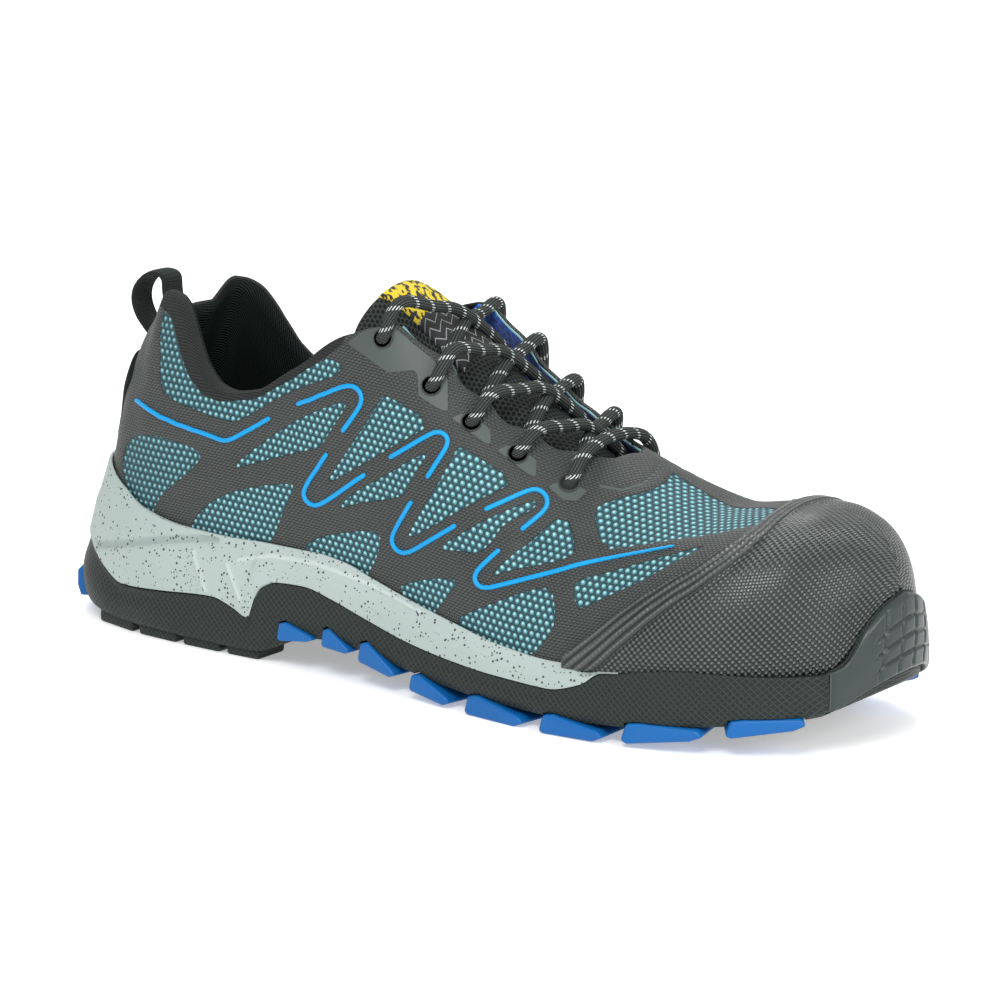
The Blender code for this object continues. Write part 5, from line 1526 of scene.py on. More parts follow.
def build_midsole(sole, paint):
    """Speckled foam: band over the outsole and cup round the upper, with its soft creases."""
    ledge = np.minimum(sole.seam + GAP, sole.cup - 0.2 * MM)
    heel = sole.heel_lean
    front = -REST_SETBACK + FOAM_END * SOLE_LENGTH + FOAM_TIP
    rise = (sole.cup - ledge) * (0.04 + 0.96 * soft((front - sole.foot[:, 0]) / FOAM_TAPER))
    cup = ledge + rise
    rows = [
        sole.ring(0.10, ledge - 1.5 * MM),
        sole.ring(0.10, ledge),
        sole.ring(0.985 - 0.26 * heel, ledge),
        sole.ring(1.02 - 0.57 * heel, ledge + rise * 0.42),
        sole.ring(0.90 - 0.60 * heel, ledge + rise * 0.60),
        sole.ring(0.30 - 0.12 * heel, cup),
        sole.ring(sole.clear, cup),
        sole.ring(sole.clear - 0.02, cup - 3 * MM),
    ]
    rows = np.array(rows)
    outer = []
    for a, b, steps in ((2, 3, 18), (3, 4, 10), (4, 5, 18)):
        outer += [rows[a] * (1 - t) + rows[b] * t for t in np.linspace(0, 1, steps, endpoint=False)]
    outer = corners_cut(np.array([rows[1], *outer, rows[5], rows[6], rows[7]]), 1, False)
    outer = np.concatenate([rows[:1], outer])
    plan = sole.spread / sole.reach[:, None]
    out = np.concatenate([plan, np.zeros((len(plan), 1))], -1)[None]
    height = (outer[..., 2] - ledge) / np.maximum(rise, 1e-6)
    flat = np.stack([outer[..., 0], outer[..., 2]], -1).reshape(-1, 2) / MM
    groove = np.exp(-(line_distance(flat, np.array(FOAM_CREASE)) / FOAM_CREASE_WIDTH) ** 2)
    edges = [line_distance(flat, np.array(line)) for line in FOAM_EDGES]
    edge = np.exp(-(np.min(edges, axis=0) / FOAM_EDGE_WIDTH) ** 2)
    body = soft((height - 0.03) / 0.05) * soft((0.97 - height) / 0.05)
    relief = (edge - groove).reshape(outer.shape[:2]) * body
    outer = outer + out * (np.where(relief < 0, 1.3, 0.6) * relief * MM)[..., None]
    keep = np.where(sole.foot[:, 0] < front + 2 * MM)[0]
    toe = len(sole.along) // 2
    order = np.concatenate([keep[keep > toe], keep[keep <= toe]])
    strip = outer[:, order]
    faces = grid_faces(len(strip), len(order))
    piece = make_piece("midsole_foam_body", strip, faces, [paint])
    # The relief also gives the foam's paint its painted highlight and painted shade.
    store(piece, "relief", relief[:, order].reshape(-1))
    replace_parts(piece, "midsole")


# Lip of the outsole, from its top down: shares out from the bumper's line and in with the heel's lean, and
# the drop in millimetres.
LIP = ((-0.10, 0.22, 0.1), (-0.01, 0.22, 0.0), (0.02, 0.22, 0.9), (-0.04, 0.20, 1.9), (-0.02, 0.20, 3.0))
# How much larger than its lug a pocket is all round, and degrees past which an edge of rubber stays sharp.
POCKET_GROW = GAP * 2.2
RUBBER_SHARP = 50


def bevel_piece(piece, width, segments=2, angle=30):
    """Rounds the sharp edges of a piece by real geometry."""
    body = bmesh.new()
    body.from_mesh(piece.data)
    sharp = [edge for edge in body.edges if len(edge.link_faces) == 2
             and edge.calc_face_angle(0) > math.radians(angle)]
    bmesh.ops.bevel(body, geom=sharp, offset=width, segments=segments, profile=0.6, affect="EDGES",
                    clamp_overlap=True)
    body.to_mesh(piece.data)
    body.free()
    piece.data.shade_smooth()
    piece.data.set_sharp_from_angle(angle=math.radians(48))


def build_outsole(sole, paint):
    """Rubber: rand, lip and underside, with the tread blocks, pocketed for the side lugs."""
    heel = sole.heel_lean
    top, under = sole.seam, sole.under
    waist = under + (top - under) * 0.5
    fore = np.clip((sole.along - RIM_CLOSING) / (RUBBER_SOLID - RIM_CLOSING), 0, 1)
    rim = 0.10 * (1 - fore) + sole.clear * fore
    rows = [sole.ring(rim - 0.25, top - 3 * MM), sole.ring(rim, top - 0.4 * MM)]
    rows += [sole.ring(sole.toe_share(top) + out - lean * heel, top - drop * MM) for out, lean, drop in LIP]
    rows += [
        sole.ring(sole.toe_share(waist) + 0.03 * (1 - sole.toe), waist),
        sole.ring(sole.toe_share(under) + 0.01 * (1 - sole.toe), under + (waist - under) * 0.55),
        sole.ring(sole.toe_share(under) - 0.10 * (1 - sole.toe), under + 1.5 * MM),
        sole.ring(sole.toe_share(under) - 0.38, under),
    ]
    rows = corners_cut(rows, 1, False)
    body = ring_piece("outsole_rubber_body", rows, [paint], angle=RUBBER_SHARP)
    pockets = [side_lug_shape(row, side, POCKET_GROW) for row in SIDE_LUGS for side in (-1, 1)]
    pockets.append(heel_lug_shape(POCKET_GROW))
    points, faces = merged(pockets)
    cutter = make_piece("pockets", points, faces, [paint])
    cut = body.modifiers.new("cut", "BOOLEAN")
    cut.operation = "DIFFERENCE"
    cut.solver = "EXACT"
    cut.use_self = True
    cut.object = cutter
    apply_modifiers(body)
    bpy.data.objects.remove(cutter)
    body.data.set_sharp_from_angle(angle=math.radians(RUBBER_SHARP))
    shapes = []
    for along, across, length, width in MIDDLE_LUGS:
        x = -REST_SETBACK + along * SOLE_LENGTH
        y = across * SOLE_BALL_HALF
        ahead, aside = length / 2 * SOLE_LENGTH, width / 2 * SOLE_BALL_HALF
        front = aside * 0.8
        corners = [(x - ahead, y - aside), (x + ahead, y - front),
                   (x + ahead, y + front), (x - ahead, y + aside)]
        share = np.array([along - length / 2, along + length / 2, along + length / 2, along - length / 2])
        shapes.append(block(corners, side_height("tread", share), side_height("under", share) + 1.5 * MM))
    for start, end in zip(HEEL_LUG_EDGES, HEEL_LUG_EDGES[1:]):
        share = np.array([start + HEEL_GROOVE / SOLE_LENGTH / 2, end - HEEL_GROOVE / SOLE_LENGTH / 2])
        for side in (-1.0, 1.0):
            outline = sole_outline(share, side)
            centre = sole_outline(share, side) * [1, 0]
            outer = centre + (outline - centre) * 0.94
            inner = centre + (outline - centre) * (1 - HEEL_LUG_DEPTH)
            corners = [outer[0], outer[1], inner[1], inner[0]]
            shapes.append(block(corners, [0.0] * 4, side_height("under", share[[0, 1, 1, 0]]) + 1.0 * MM))
    points, faces = merged(shapes)
    tread = make_piece("tread_blocks", points, faces, [paint])
    bevel_piece(tread, 1.5 * MM, 3)
    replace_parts(body, "outsole")
    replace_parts(tread, "outsole")


def merged(shapes):
    points, faces = [], []
    for given, sides in shapes:
        faces += [tuple(len(points) + k for k in side) for side in sides]
        points += [tuple(p) for p in given]
    return np.array(points), faces


def apply_modifiers(piece):
    done = bpy.data.meshes.new_from_object(piece.evaluated_get(bpy.context.evaluated_depsgraph_get()))
    piece.modifiers.clear()
    piece.data = done


def build_lugs(paint):
    """Coloured inserts round the sole's edge, their edges rounded."""
    for index, row in enumerate(SIDE_LUGS, 1):
        for side, word in ((-1, "lateral"), (1, "medial")):
            points, faces = side_lug_shape(row, side)
            piece = make_piece(f"{word}_lug_{index}", points, faces, [paint])
            bevel_piece(piece, 2.0 * MM, 4)
            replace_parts(piece, f"lug_{word}_{index}")
    points, faces = heel_lug_shape()
    piece = make_piece("heel_insert", points, faces, [paint])
    bevel_piece(piece, 0.5 * MM, angle=25)
    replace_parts(piece, "lug_heel")


def build_insole(skin, paint):
    """Footbed inside the upper, its top edge rounded over."""
    wall = skin.normal[0] * [1, 1, 0]
    inner = skin.grid[0] - unit(wall) * UPPER_WALL
    rows = []
    for lift, shrink in ((0.0, 0.0), (0.7, 0.0), (0.9, 0.5 * MM), (1.0, 2.0 * MM)):
        ring = inner - wall * (INSOLE_CLEAR + shrink)
        feather = last_values(np.clip((ring[:, 0] - LAST_START) / LAST_LENGTH, 0, 1))["feather"]
        ring[:, 2] = feather + GAP + lift * INSOLE_THICKNESS
        rows.append(ring)
    piece = ring_piece("footbed", rows, [paint])
    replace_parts(piece, "insole")


TONGUE_FINE = (90, 61)
TONGUE_TUCK = 4.5 * MM
TONGUE_ROUND = 0.10
# How much thinner the tongue is at its sides, and the label's place: share of the tongue's rows at which it
# starts, and shares of the columns between which it lies.
TONGUE_THIN = 0.6
LABEL_FIRST_SHARE = 0.56
LABEL_SPAN = (0.25, 0.75)


def tucked(top):
    """Rounds the tongue's top corners and lays its sides deeper under the eyestays."""
    rows, columns = top.shape[:2]
    share = np.abs(np.linspace(-1, 1, columns))
    up = np.linspace(0, 1, rows)
    wanted = up[:, None] * (1 - TONGUE_ROUND * share[None, :] ** 3)
    place = wanted * (rows - 1)
    cell = np.clip(place.astype(int), 0, rows - 2)
    t = (place - cell)[..., None]
    column = np.arange(columns)[None, :]
    found = top[cell, column] * (1 - t) + top[cell + 1, column] * t
    found[..., 2] -= TONGUE_TUCK * soft((share - 0.40) / 0.35)[None, :] * soft((0.80 - up) / 0.15)[:, None]
    return found


def fine_tongue():
    top, thick = tongue_grid(*TONGUE_FINE)
    top = tucked(top)
    normal = -grid_normals(top, closed=False)
    return top, normal * np.sign(normal[..., 2:3]), thick


def build_tongue(paint, label_paint):
    """Padded airy tongue with its woven label."""
    top, normal, thick = fine_tongue()
    share = np.linspace(-1, 1, TONGUE_FINE[1])[None, :, None]
    depth = TONGUE_THICKNESS * thick[:, None, None] * (1 - TONGUE_THIN * share ** 4)
    roll = edge_round(*TONGUE_FINE, 5)
    middle = top - normal * depth / 2
    over = middle + normal * depth / 2 * roll
    under = middle - normal * depth / 2 * roll
    piece = plate_piece("tongue_pad", under, over, paint)
    lay = tongue_lay(top)
    store(piece, "lay", np.concatenate([lay, lay]).reshape(-1, 3))
    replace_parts(piece, "tongue")
    first = int(LABEL_FIRST_SHARE * TONGUE_FINE[0])
    columns = slice(int(TONGUE_FINE[1] * LABEL_SPAN[0]), int(TONGUE_FINE[1] * LABEL_SPAN[1]) + 1)
    grid, lift = over[first:-1, columns], normal[first:-1, columns]
    thick = 0.2 * MM + LABEL_WALL * 0.8 * edge_round(*grid.shape[:2], 1.5)
    below, above = grid - lift * 0.3 * MM, grid + lift * thick
    label = plate_piece("label_weave", below, above, label_paint)
    flat = lay[first:-1, columns].copy()
    flat[..., 1] -= flat[..., 1].min()
    store(label, "lay", np.concatenate([flat, flat]).reshape(-1, 3))
    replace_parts(label, "tongue_label")


def tongue_lay(top):
    across = np.cumsum(np.linalg.norm(np.diff(top, axis=1, prepend=top[:, :1]), axis=-1), axis=1) / MM
    down = np.cumsum(np.linalg.norm(np.diff(top, axis=0, prepend=top[:1]), axis=-1), axis=0) / MM
    return np.stack([across, down, 0 * down], -1)


def build_pull_loop(paint):
    """Folded webbing at the heel."""
    back, crest = heel_crest()
    knots = np.array(LOOP_PATH) * LOOP_REACH + [back, crest + COLLAR_PAD / 2]
    path = through(knots, 64)
    along = np.gradient(path, axis=0)
    out = unit(np.stack([-along[:, 1], along[:, 0]], -1))
    across = np.linspace(-0.5, 0.5, 13)
    crown = 1 - (2 * np.abs(across)) ** 4 * 0.35
    rings = []
    for point, lift in zip(path, out):
        low = [(point[0], a * LOOP_WIDTH, point[1]) for a in across]
        high = [(point[0] + lift[0] * LOOP_WALL * c, a * LOOP_WIDTH, point[1] + lift[1] * LOOP_WALL * c)
                for a, c in zip(across, crown)]
        rings.append(low + high[::-1])
    rings = np.array(rings)
    count = rings.shape[1]
    faces = grid_faces(len(rings), count, closed=True)
    faces += [tuple(range(count))[::-1], tuple((len(rings) - 1) * count + k for k in range(count))]
    piece = make_piece("webbing_loop", rings, faces, [paint], angle=60)
    run = run_of(path) * np.linalg.norm(np.diff(path, axis=0), axis=1).sum() / MM
    lay = np.zeros((len(rings), count, 3))
    lay[..., 0] = np.concatenate([across, across[::-1]])[None, :] * LOOP_WIDTH / MM
    lay[..., 1] = run[:, None]
    store(piece, "lay", lay.reshape(-1, 3))
    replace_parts(piece, "pull_loop")


LACE_STEPS = 78
LACE_STAND = LACE_DIAMETER / 2 + 0.1 * MM
LACE_OVER = 0.75 * LACE_DIAMETER
DIP = 5.0 * MM


def over_eyestay(index, side):
    """Knots of a lace that comes up through an eyelet and runs over the throat's edge."""
    start = eyelet_point(index, side)
    edge_y = side * (throat_half(start[0]) + 1.0 * MM)
    edge = np.array([start[0], edge_y, last_height(np.array([start[0]]), np.array([edge_y]))[0]])
    return [start + surface_normal(*start[:2]) * LACE_STAND - [0, side * 2.0 * MM, 0],
            edge + surface_normal(*edge[:2]) * (LACE_STAND + 0.5 * MM)]


def up_through(index, side):
    """The lace under an eyelet, inside the shoe."""
    start = eyelet_point(index, side)
    out = surface_normal(*start[:2])
    return start - out * DIP + np.array([0, side * 1.5 * MM, 0])


def lace_run(index, side):
    """A lace up through an eyelet, over the tongue and down under the other eyestay."""
    knots = over_eyestay(index, side)
    start, target = eyelet_point(index, side), eyelet_point(index + 1, -side)
    middle = (start + target) / 2
    middle[1] = 0.0
    over = LACE_OVER if side < 0 else 0.0
    middle[2] = tongue_height(middle[0], 0.0) + LACE_STAND + over
    x = middle[0] + (target[0] - middle[0]) * 0.5
    y = -side * (throat_half(x) - LACE_DIAMETER)
    last = np.array([x, y, tongue_height(x, y) + LACE_STAND])
    knots[1][0] += (target[0] - start[0]) * 0.15
    between = (knots[1] + middle) / 2
    between[2] = max(between[2] + 0.7 * MM, tongue_height(between[0], between[1]) + LACE_STAND + over * 0.4)
    below = target - surface_normal(*target[:2]) * (UPPER_WALL + LACE_DIAMETER * 0.75)
    return through([up_through(index, side)] + knots + [between, middle, last, below], LACE_STEPS)


LACE_FLAT = 0.84
LACE_SIDES = 20


def tube_rings(path, radius, sides, flat=1.0):
    """Rings of a tube along a path, and its lay: cosine of the turn, run in millimetres, sine of the turn."""
    path = np.array(path)
    along = unit(np.gradient(path, axis=0))
    across = unit(np.cross(along, [0.0, 0.0, 1.0]), 1e-9)
    top = np.cross(across, along)
    angle = 2 * math.pi * np.arange(sides) / sides
    rings = (path[:, None] + radius * (np.cos(angle)[None, :, None] * across[:, None]
                                       + flat * np.sin(angle)[None, :, None] * top[:, None]))
    run = np.concatenate([[0], np.cumsum(np.linalg.norm(np.diff(path, axis=0), axis=1))]) / MM
    lay = np.zeros((len(path), sides, 3))
    lay[..., 0] = np.cos(angle)[None, :]
    lay[..., 1] = run[:, None]
    lay[..., 2] = np.sin(angle)[None, :]
    return rings, lay


def lace_piece(name, paths, paint):
    """One piece of round cord along each path."""
    points, faces, lays = [], [], []
    for path in paths:
        rings, lay = tube_rings(path, LACE_DIAMETER / 2, LACE_SIDES, LACE_FLAT)
        rows, sides = rings.shape[:2]
        faces += grid_faces(rows, sides, closed=True, first=len(points))
        faces += [tuple(len(points) + k for k in range(sides))[::-1],
                  tuple(len(points) + (rows - 1) * sides + k for k in range(sides))]
        points += list(rings.reshape(-1, 3))
        lays += list(lay.reshape(-1, 3))
    piece = make_piece(name, points, faces, [paint], angle=70)
    store(piece, "lay", lays)
    return piece


def build_laces(paint):
    """The four crossings and the bar at the toe end."""
    for index in range(len(EYELETS) - 1):
        piece = lace_piece(f"crossed_lace_{index + 1}", [lace_run(index, -1), lace_run(index, 1)], paint)
        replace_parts(piece, f"lace_cross_{index + 1}")
    last = len(EYELETS) - 1
    near, far = over_eyestay(last, -1), over_eyestay(last, 1)
    x = near[0][0]
    middle = np.array([x, 0.0, max(tongue_height(x, 0.0), near[1][2]) + LACE_STAND])
    knots = [up_through(last, -1)] + near + [middle] + far[::-1] + [up_through(last, 1)]
    path = through(knots, LACE_STEPS)
    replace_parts(lace_piece("lace_across_toe_end", [path], paint), "lace_bar")


EYELET_RADIUS = 2.9 * MM
EYELET_RIM = 0.35 * MM
EYELET_LIFT = 0.1 * MM
EYELET_TURNS = 28
RIM_TURNS = 10
RAW_EDGE = 0.42 * MM


def build_eyelets(paint, dark):
    """A thin rim round each hole, and a near-black disc across each hole as painted shade."""
    points, faces, picks = [], [], []
    for index in range(len(EYELETS)):
        for side in (-1, 1):
            centre = eyelet_point(index, side)
            out = surface_normal(*centre[:2])
            ahead = np.cross(out, [0, 1, 0])
            ahead = ahead / np.linalg.norm(ahead)
            aside = np.cross(out, ahead)
            first = len(points)
            for turn in np.linspace(0, 2 * math.pi, EYELET_TURNS, endpoint=False):
                away = ahead * math.cos(turn) + aside * math.sin(turn)
                for roll in np.linspace(0, 2 * math.pi, RIM_TURNS, endpoint=False):
                    points.append(centre + away * (EYELET_RADIUS + EYELET_RIM * math.cos(roll))
                                  + out * (EYELET_LIFT + EYELET_RIM * math.sin(roll)))
            quads = grid_faces(EYELET_TURNS, RIM_TURNS, closed=True, first=first)
            last = first + (EYELET_TURNS - 1) * RIM_TURNS
            for k in range(RIM_TURNS):
                after = (k + 1) % RIM_TURNS
                quads.append((last + k, last + after, first + after, first + k))
            faces += quads
            picks += [0] * len(quads)
            # Near-black disc over the hole: painted shade where the hole would look dark.
            faces.append(tuple(first + k * RIM_TURNS + 2 for k in range(EYELET_TURNS)))
            picks.append(1)
    make_piece("eyelet_rims", points, faces, [paint, dark], picks)


def build_raw_edge(skin, paint):
    """The pale cut edge that shows along the throat, on both sides and round its front."""
    edge = skin.grid[-1] - skin.normal[-1] * UPPER_WALL * 0.75
    edge = edge + skin.edge_rise() * UPPER_WALL * 0.42
    keep = np.where(skin.head_along > EYELETS[0][0] + 0.004)[0]
    path = smoothed(edge[keep], 3)
    rings, _ = tube_rings(path, RAW_EDGE, 8)
    make_piece("raw_edge", rings, grid_faces(*rings.shape[:2], closed=True), [paint])


# Half the spacing of the film's pips, in millimetres.
FILM_PITCH = 1.5


def upper_paints():
    """Outer skin with its film, open mesh, smooth plates and knit, the collar's lining and the throat's. The
    mesh has painted shade towards the heel and a painted glint in each hole, and each film pip has a painted
    highlight and shadow.
    """
    skin = Shade("film_and_mesh", roughness=0.62)
    lay = skin.lay()
    away = skin.dots(lay, DOT_PITCH)
    window, plate, knit = skin.value("window"), skin.value("plate"), skin.value("knit")
    in_window = skin.step(window, -0.25, 0.25, 1, 0)
    in_plate = skin.step(plate, -0.25, 0.25, 1, 0)
    in_knit = skin.step(knit, -0.25, 0.25, 1, 0)
    hole = skin.step(away, 0.74, 0.90, 1, 0)
    wide = skin.noise(28)
    light = skin.mix(wide, (0.062, 0.235, 0.285), (0.115, 0.35, 0.40))
    edge = skin.step(away, 0.92, 1.25, 0, 1)
    web = skin.mix(edge, (0.002, 0.012, 0.016), (0.015, 0.064, 0.082))
    mesh = skin.mix(hole, web, light)
    moved = skin.vector("ADD", lay, (0.14, -0.20, 0.0))
    glint = skin.step(skin.dots(moved, DOT_PITCH), 0.30, 0.56, 1, 0)
    mesh = skin.mix(skin.math("MULTIPLY", glint, hole), mesh, (0.34, 0.62, 0.64))
    # Painted shade: the open mesh darkens towards the heel, where its side lies in shade.
    along = skin.node("SeparateXYZ", skin.place()).outputs[0]
    mesh = skin.mix(skin.step(along, -0.045, 0.030, 0.42, 0), mesh, (0.004, 0.035, 0.045))
    film = skin.mix(wide, (0.026, 0.031, 0.029), (0.040, 0.047, 0.044))
    squeezed = skin.vector("MULTIPLY", lay, (1.0, 1.45, 0.0))
    grain = skin.dots(squeezed, FILM_PITCH)
    # Painted highlight on the tops of the film's pips, and a painted shadow just below each from a shifted
    # lattice.
    painted_pip_highlight = skin.step(grain, 0.34, 0.58, 1, 0)
    below = skin.dots(skin.vector("ADD", squeezed, (-0.10, 0.34, 0.0)), FILM_PITCH)
    painted_pip_shadow = skin.math("MULTIPLY", skin.step(below, 0.42, 0.70, 1, 0), skin.math("SUBTRACT", 1.0, painted_pip_highlight))
    film = skin.mix(painted_pip_shadow, film, (0.004, 0.006, 0.005))
    film = skin.mix(painted_pip_highlight, film, (0.062, 0.072, 0.067))
    film = skin.mix(in_plate, film, (0.053, 0.068, 0.064))
    rim = skin.math("MULTIPLY", skin.step(window, -0.35, 0.0), skin.step(window, 0.1, 0.55, 1, 0))
    plate_rim = skin.math("MULTIPLY", skin.step(plate, -0.3, 0.0), skin.step(plate, 0.1, 0.5, 1, 0))
    shade = skin.mix(in_window, film, mesh)
    shade = skin.mix(skin.math("MAXIMUM", rim, plate_rim), shade, (0.010, 0.012, 0.014))
    rib = skin.ribs(lay, 1.0, axis=1)
    knit_shade = skin.mix(rib, (0.004, 0.005, 0.005), (0.020, 0.024, 0.023))
    skin.base(skin.mix(in_knit, shade, knit_shade))
    rough = skin.mix(in_window, (0.56, 0.56, 0.56), (0.72, 0.72, 0.72))
    skin.rough(skin.mix(in_knit, rough, (0.95, 0.95, 0.95)))
    textured = skin.math("SUBTRACT", 1.0, skin.math("MAXIMUM", in_plate, in_knit))
    on_film = skin.math("SUBTRACT", 1.0, in_window)
    bead = skin.math("MULTIPLY", skin.step(away, 0.3, 0.85, 1.0, 0.0), in_window)
    pip = skin.math("MULTIPLY", skin.step(grain, 0.2, 0.65, 1.0, 0.0), on_film)
    skin.bump(skin.math("MULTIPLY", bead, textured), 0.0005, 1.0)
    skin.bump(skin.math("MULTIPLY", pip, textured), 0.0004, 1.0)
    skin.bump(on_film, 0.0004, 0.7)
    skin.bump(skin.math("MULTIPLY", rib, in_knit), 0.0005, 0.8)
    skin.bump(skin.noise(900, 3), 0.00012, 0.5)
    lining = Shade("collar_knit", roughness=0.95, gloss=0.12)
    lay = lining.lay()
    rib = lining.ribs(lay, 1.0, axis=1)
    cross = lining.ribs(lay, 0.9, axis=0)
    weave = lining.math("MULTIPLY", rib, lining.math("MULTIPLY_ADD", cross, 0.4, 0.6))
    lining.base(lining.mix(weave, (0.002, 0.004, 0.004), (0.019, 0.028, 0.025)))
    lining.bump(weave, 0.0005, 0.8)
    throat = Shade("blue_lining", roughness=0.9, sheen_weight=0.3, sheen_roughness=0.5)
    fuzz = throat.noise(700, 3)
    throat.base(throat.mix(throat.step(fuzz, 0.4, 0.6), (0.0, 0.03, 0.30), (0.004, 0.17, 0.90)))
    throat.bump(fuzz, 0.0004, 0.8)
    return skin.material, lining.material, throat.material


# Half the spacing of the cap's staggered weave and the spacing of its band's ridges, in millimetres.
CAP_PITCH = 1.0
RIDGE_PITCH = 1.65


def cap_paint():
    """Black woven cap, its ridged band and its worn sheen, with painted shade in the weave's low places and a
    painted highlight on its raised beads.
    """
    cap = Shade("toe_weave", roughness=0.32, gloss=0.55)
    lay = cap.lay()
    parts = cap.node("SeparateXYZ", lay)
    u, v = parts.outputs[0], parts.outputs[1]
    waves = [cap.math("SINE", cap.math("MULTIPLY", run, math.pi / CAP_PITCH)) for run in (u, v)]
    weave = cap.math("MULTIPLY_ADD", cap.math("MULTIPLY", *waves), 0.5, 0.5)
    band = cap.value("band")
    on_band = cap.step(band, 6.2, 6.6, 1, 0)
    ridge = cap.math("SINE", cap.math("MULTIPLY", band, 2 * math.pi / RIDGE_PITCH))
    ridge = cap.math("MULTIPLY_ADD", ridge, 0.5, 0.5)
    knurl = cap.math("MULTIPLY", ridge, cap.math("MULTIPLY_ADD", weave, 0.6, 0.4))
    height = cap.mix(on_band, cap.step(weave, 0.2, 0.85), knurl)
    wide = cap.noise(30)
    # Painted shade and highlight: the colour goes from near black in the weave's low places to grey on its
    # raised beads and ridges.
    low = cap.mix(wide, (0.002, 0.003, 0.003), (0.005, 0.006, 0.006))
    high = cap.mix(wide, (0.070, 0.084, 0.078), (0.112, 0.130, 0.122))
    cap.base(cap.mix(height, low, high))
    cap.rough(cap.step(cap.noise(60), 0.3, 0.7, 0.26, 0.38))
    cap.bump(height, 0.0008, 1.0)
    cap.bump(cap.noise(1500, 2), 0.00008, 0.5)
    return cap.material


def foam_paint():
    """Grey foam with dark specks, with a painted highlight on its raised edges and painted shade in its
    crease.
    """
    foam = Shade("speckled_foam", roughness=0.62)
    cells = foam.cells(880)
    size = foam.node("SeparateColor", cells["Color"])
    near = foam.math("LESS_THAN", cells["Distance"], foam.math("MULTIPLY", size.outputs[1], 0.40))
    chosen = foam.math("GREATER_THAN", size.outputs[0], foam.step(foam.noise(60, 1), 0.35, 0.65, 0.60, 0.18))
    speck = foam.math("MULTIPLY", near, chosen)
    wide = foam.noise(22, 3)
    body = foam.mix(wide, (0.29, 0.355, 0.335), (0.385, 0.45, 0.43))
    relief = foam.value("relief")
    # Painted highlight on the raised edges and painted shade in the crease, both from the relief.
    body = foam.mix(foam.step(relief, 0.05, 0.9, 0, 0.32), body, (0.62, 0.68, 0.66))
    body = foam.mix(foam.step(relief, -0.9, -0.05, 0.32, 0), body, (0.12, 0.16, 0.15))
    foam.base(foam.mix(speck, body, (0.035, 0.038, 0.042)))
    foam.bump(foam.noise(700, 3), 0.00015, 0.5)
    return foam.material


# Spacing of the rubber's cross grain, in metres.
RUBBER_PITCH = 0.0021


def rubber_paint():
    """Matte rubber with a fine cross grain, lighter along the grain's raised lines."""
    rubber = Shade("sole_rubber", roughness=0.56, gloss=0.22)
    where = rubber.place()
    parts = rubber.node("SeparateXYZ", where)
    x, z = parts.outputs[0], parts.outputs[2]
    waves = []
    for operation in ("ADD", "SUBTRACT"):
        run = rubber.math(operation, x, z)
        waves.append(rubber.math("SINE", rubber.math("MULTIPLY", run, 2 * math.pi / RUBBER_PITCH)))
    grain = rubber.step(rubber.math("MAXIMUM", *waves), 0.2, 1.0)
    wide = rubber.noise(24, 4)
    dark = rubber.mix(wide, (0.006, 0.010, 0.008), (0.018, 0.025, 0.022))
    rubber.base(rubber.mix(rubber.math("MULTIPLY", grain, 0.5), dark, (0.045, 0.054, 0.050)))
    rubber.rough(rubber.step(wide, 0.3, 0.7, 0.48, 0.64))
    rubber.bump(grain, 0.0003, 0.8)
    rubber.bump(rubber.noise(900, 3), 0.0001, 0.5)
    return rubber.material


# Moulded and woven finishes: darker and lighter tone, roughness and gloss.
FINISHES = {
    "raised_blue": ((0.0, 0.25, 0.58), (0.002, 0.31, 0.66), 0.46, 0.3),
    "blue_rubber_grain": ((0.001, 0.080, 0.29), (0.003, 0.12, 0.37), 0.46, 0.3),
    "bumper_rubber_grain": ((0.015, 0.025, 0.023), (0.027, 0.040, 0.038), 0.34, 0.45),
    "footbed_cloth": ((0.004, 0.005, 0.005), (0.010, 0.012, 0.011), 0.92, 0.15),
    "counter_grain": ((0.004, 0.007, 0.006), (0.011, 0.016, 0.014), 0.7, 0.08),
    "eyelet_rim": ((0.030, 0.036, 0.034), (0.045, 0.052, 0.050), 0.5, 0.5),
    # Near-black disc in each eyelet: painted shade.
    "painted_eyelet_shade": ((0.001, 0.002, 0.003), (0.004, 0.006, 0.008), 0.9, 0.5),
    "cut_edge": ((0.10, 0.30, 0.34), (0.34, 0.48, 0.48), 0.8, 0.5),
}


def fine_paint(name):
    """A finish whose tone drifts between its two colours over a fine grain."""
    dark, light, roughness, gloss = FINISHES[name]
    shade = Shade(name, roughness, gloss)
    shade.base(shade.mix(shade.noise(26, 4), dark, light))
    shade.rough(shade.step(shade.noise(90, 3), 0.3, 0.7, roughness - 0.06, roughness + 0.06))
    shade.bump(shade.noise(900, 3), 0.00012, 0.6)
    return shade.material


def tongue_paint():
    """Black airy mesh with open cells."""
    tongue = Shade("airy_mesh", roughness=0.85, gloss=0.3)
    away = tongue.dots(tongue.lay(), 1.9)
    hole = tongue.step(away, 0.50, 0.80, 1, 0)
    tongue.base(tongue.mix(hole, (0.030, 0.036, 0.033), (0.002, 0.003, 0.003)))
    tongue.bump(tongue.math("SUBTRACT", 1.0, hole), 0.0006, 0.9)
    return tongue.material


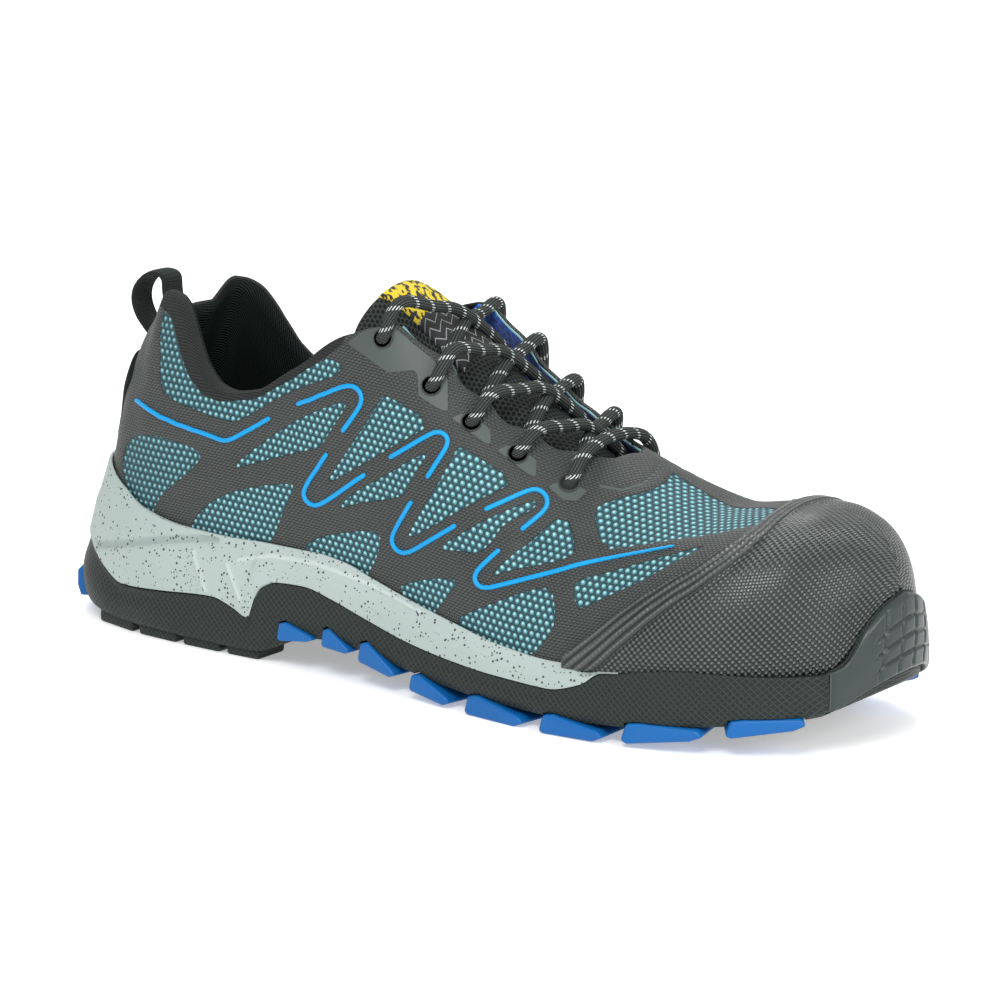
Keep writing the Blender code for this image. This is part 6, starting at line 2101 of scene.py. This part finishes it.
def label_paint():
    """Yellow woven strip flecked with black, then grey zigzag threads on black."""
    label = Shade("flecked_label", roughness=0.7)
    lay = label.lay()
    parts = label.node("SeparateXYZ", lay)
    u, v = parts.outputs[0], parts.outputs[1]
    warped = label.vector("MULTIPLY", lay, (0.30, 0.16, 0.0))
    fleck = label.noise(1.9, 4, warped)
    fleck = label.step(fleck, 0.47, 0.50, 0, 1)
    yellow = label.mix(fleck, (0.012, 0.012, 0.010), (0.66, 0.50, 0.012))
    zig = label.math("PINGPONG", u, 3.0)
    wave = label.math("SINE", label.math("MULTIPLY", label.math("ADD", v, zig), 2 * math.pi / 3.4))
    thread = label.step(wave, 0.86, 0.96, 0, 1)
    grey = label.mix(thread, (0.012, 0.013, 0.014), (0.30, 0.31, 0.31))
    label.base(label.mix(label.step(v, 22.0, 22.3, 0, 1), grey, yellow))
    weave = label.math("MULTIPLY", label.ribs(lay, 0.5, 0), label.ribs(lay, 0.5, 1))
    label.bump(weave, 0.00018, 0.7)
    return label.material


# Lengthwise threads round a lace, and how often along it, in millimetres, the pale flecks come back.
LACE_THREADS = 14
FLECK_PITCH = 7.5
FLECK_START = 0.80


def lace_paint():
    """Dark cord with pale lengthwise threads and slanted white flecks."""
    lace = Shade("flecked_lace", roughness=0.92, gloss=0.12)
    parts = lace.node("SeparateXYZ", lace.lay())
    run = parts.outputs[1]
    turn = lace.math("DIVIDE", lace.math("ARCTAN2", parts.outputs[2], parts.outputs[0]), 2 * math.pi)
    threads = lace.math("MULTIPLY", turn, float(LACE_THREADS))
    thread = lace.step(lace.math("PINGPONG", threads, 0.5), 0.24, 0.36, 0, 1)
    braid = lace.math("MULTIPLY_ADD", run, 1.1, threads)
    braid = lace.math("SINE", lace.math("MULTIPLY", braid, 2 * math.pi))
    own_turn = lace.math("DIVIDE", lace.math("FLOOR", threads), float(LACE_THREADS))
    fleck = lace.math("FRACT", lace.math("MULTIPLY_ADD", run, 1 / FLECK_PITCH, own_turn))
    fleck = lace.math("MULTIPLY", thread, lace.step(fleck, FLECK_START, FLECK_START + 0.03, 0, 1))
    cord = lace.mix(lace.math("MULTIPLY_ADD", braid, 0.5, 0.5), (0.010, 0.012, 0.012),
                    (0.034, 0.039, 0.037))
    cord = lace.mix(lace.math("MULTIPLY", thread, 0.7), cord, (0.085, 0.098, 0.092))
    lace.base(lace.mix(fleck, cord, (0.60, 0.66, 0.63)))
    lace.bump(lace.math("MULTIPLY_ADD", braid, 0.25, thread), 0.00022, 0.8)
    return lace.material


def webbing_paint():
    webbing = Shade("ribbed_webbing", roughness=0.85, gloss=0.25)
    lay = webbing.lay()
    weave = webbing.math("MULTIPLY", webbing.ribs(lay, 0.8, 0), webbing.ribs(lay, 0.8, 1))
    webbing.base(webbing.mix(weave, (0.008, 0.011, 0.010), (0.034, 0.041, 0.038)))
    webbing.bump(weave, 0.0004, 0.8)
    return webbing.material


def main():
    """Camera, studio and every piece."""
    place_camera()
    studio()
    skin = Skin()
    build_skin(skin, *upper_paints())
    build_raised_lines(skin, fine_paint("raised_blue"))
    build_midsole(SoleFrame(even_stations(FOAM_STATIONS)), foam_paint())
    build_outsole(SoleFrame(even_stations(SOLE_STATIONS)), rubber_paint())
    build_lugs(fine_paint("blue_rubber_grain"))
    build_bumper(SoleFrame(even_stations(BUMPER_STATIONS)), fine_paint("bumper_rubber_grain"))
    build_insole(skin, fine_paint("footbed_cloth"))
    build_toe_cap(skin, cap_paint())
    build_counter(fine_paint("counter_grain"))
    build_tongue(tongue_paint(), label_paint())
    build_pull_loop(webbing_paint())
    build_laces(lace_paint())
    build_eyelets(fine_paint("eyelet_rim"), fine_paint("painted_eyelet_shade"))
    build_raw_edge(skin, fine_paint("cut_edge"))


main()
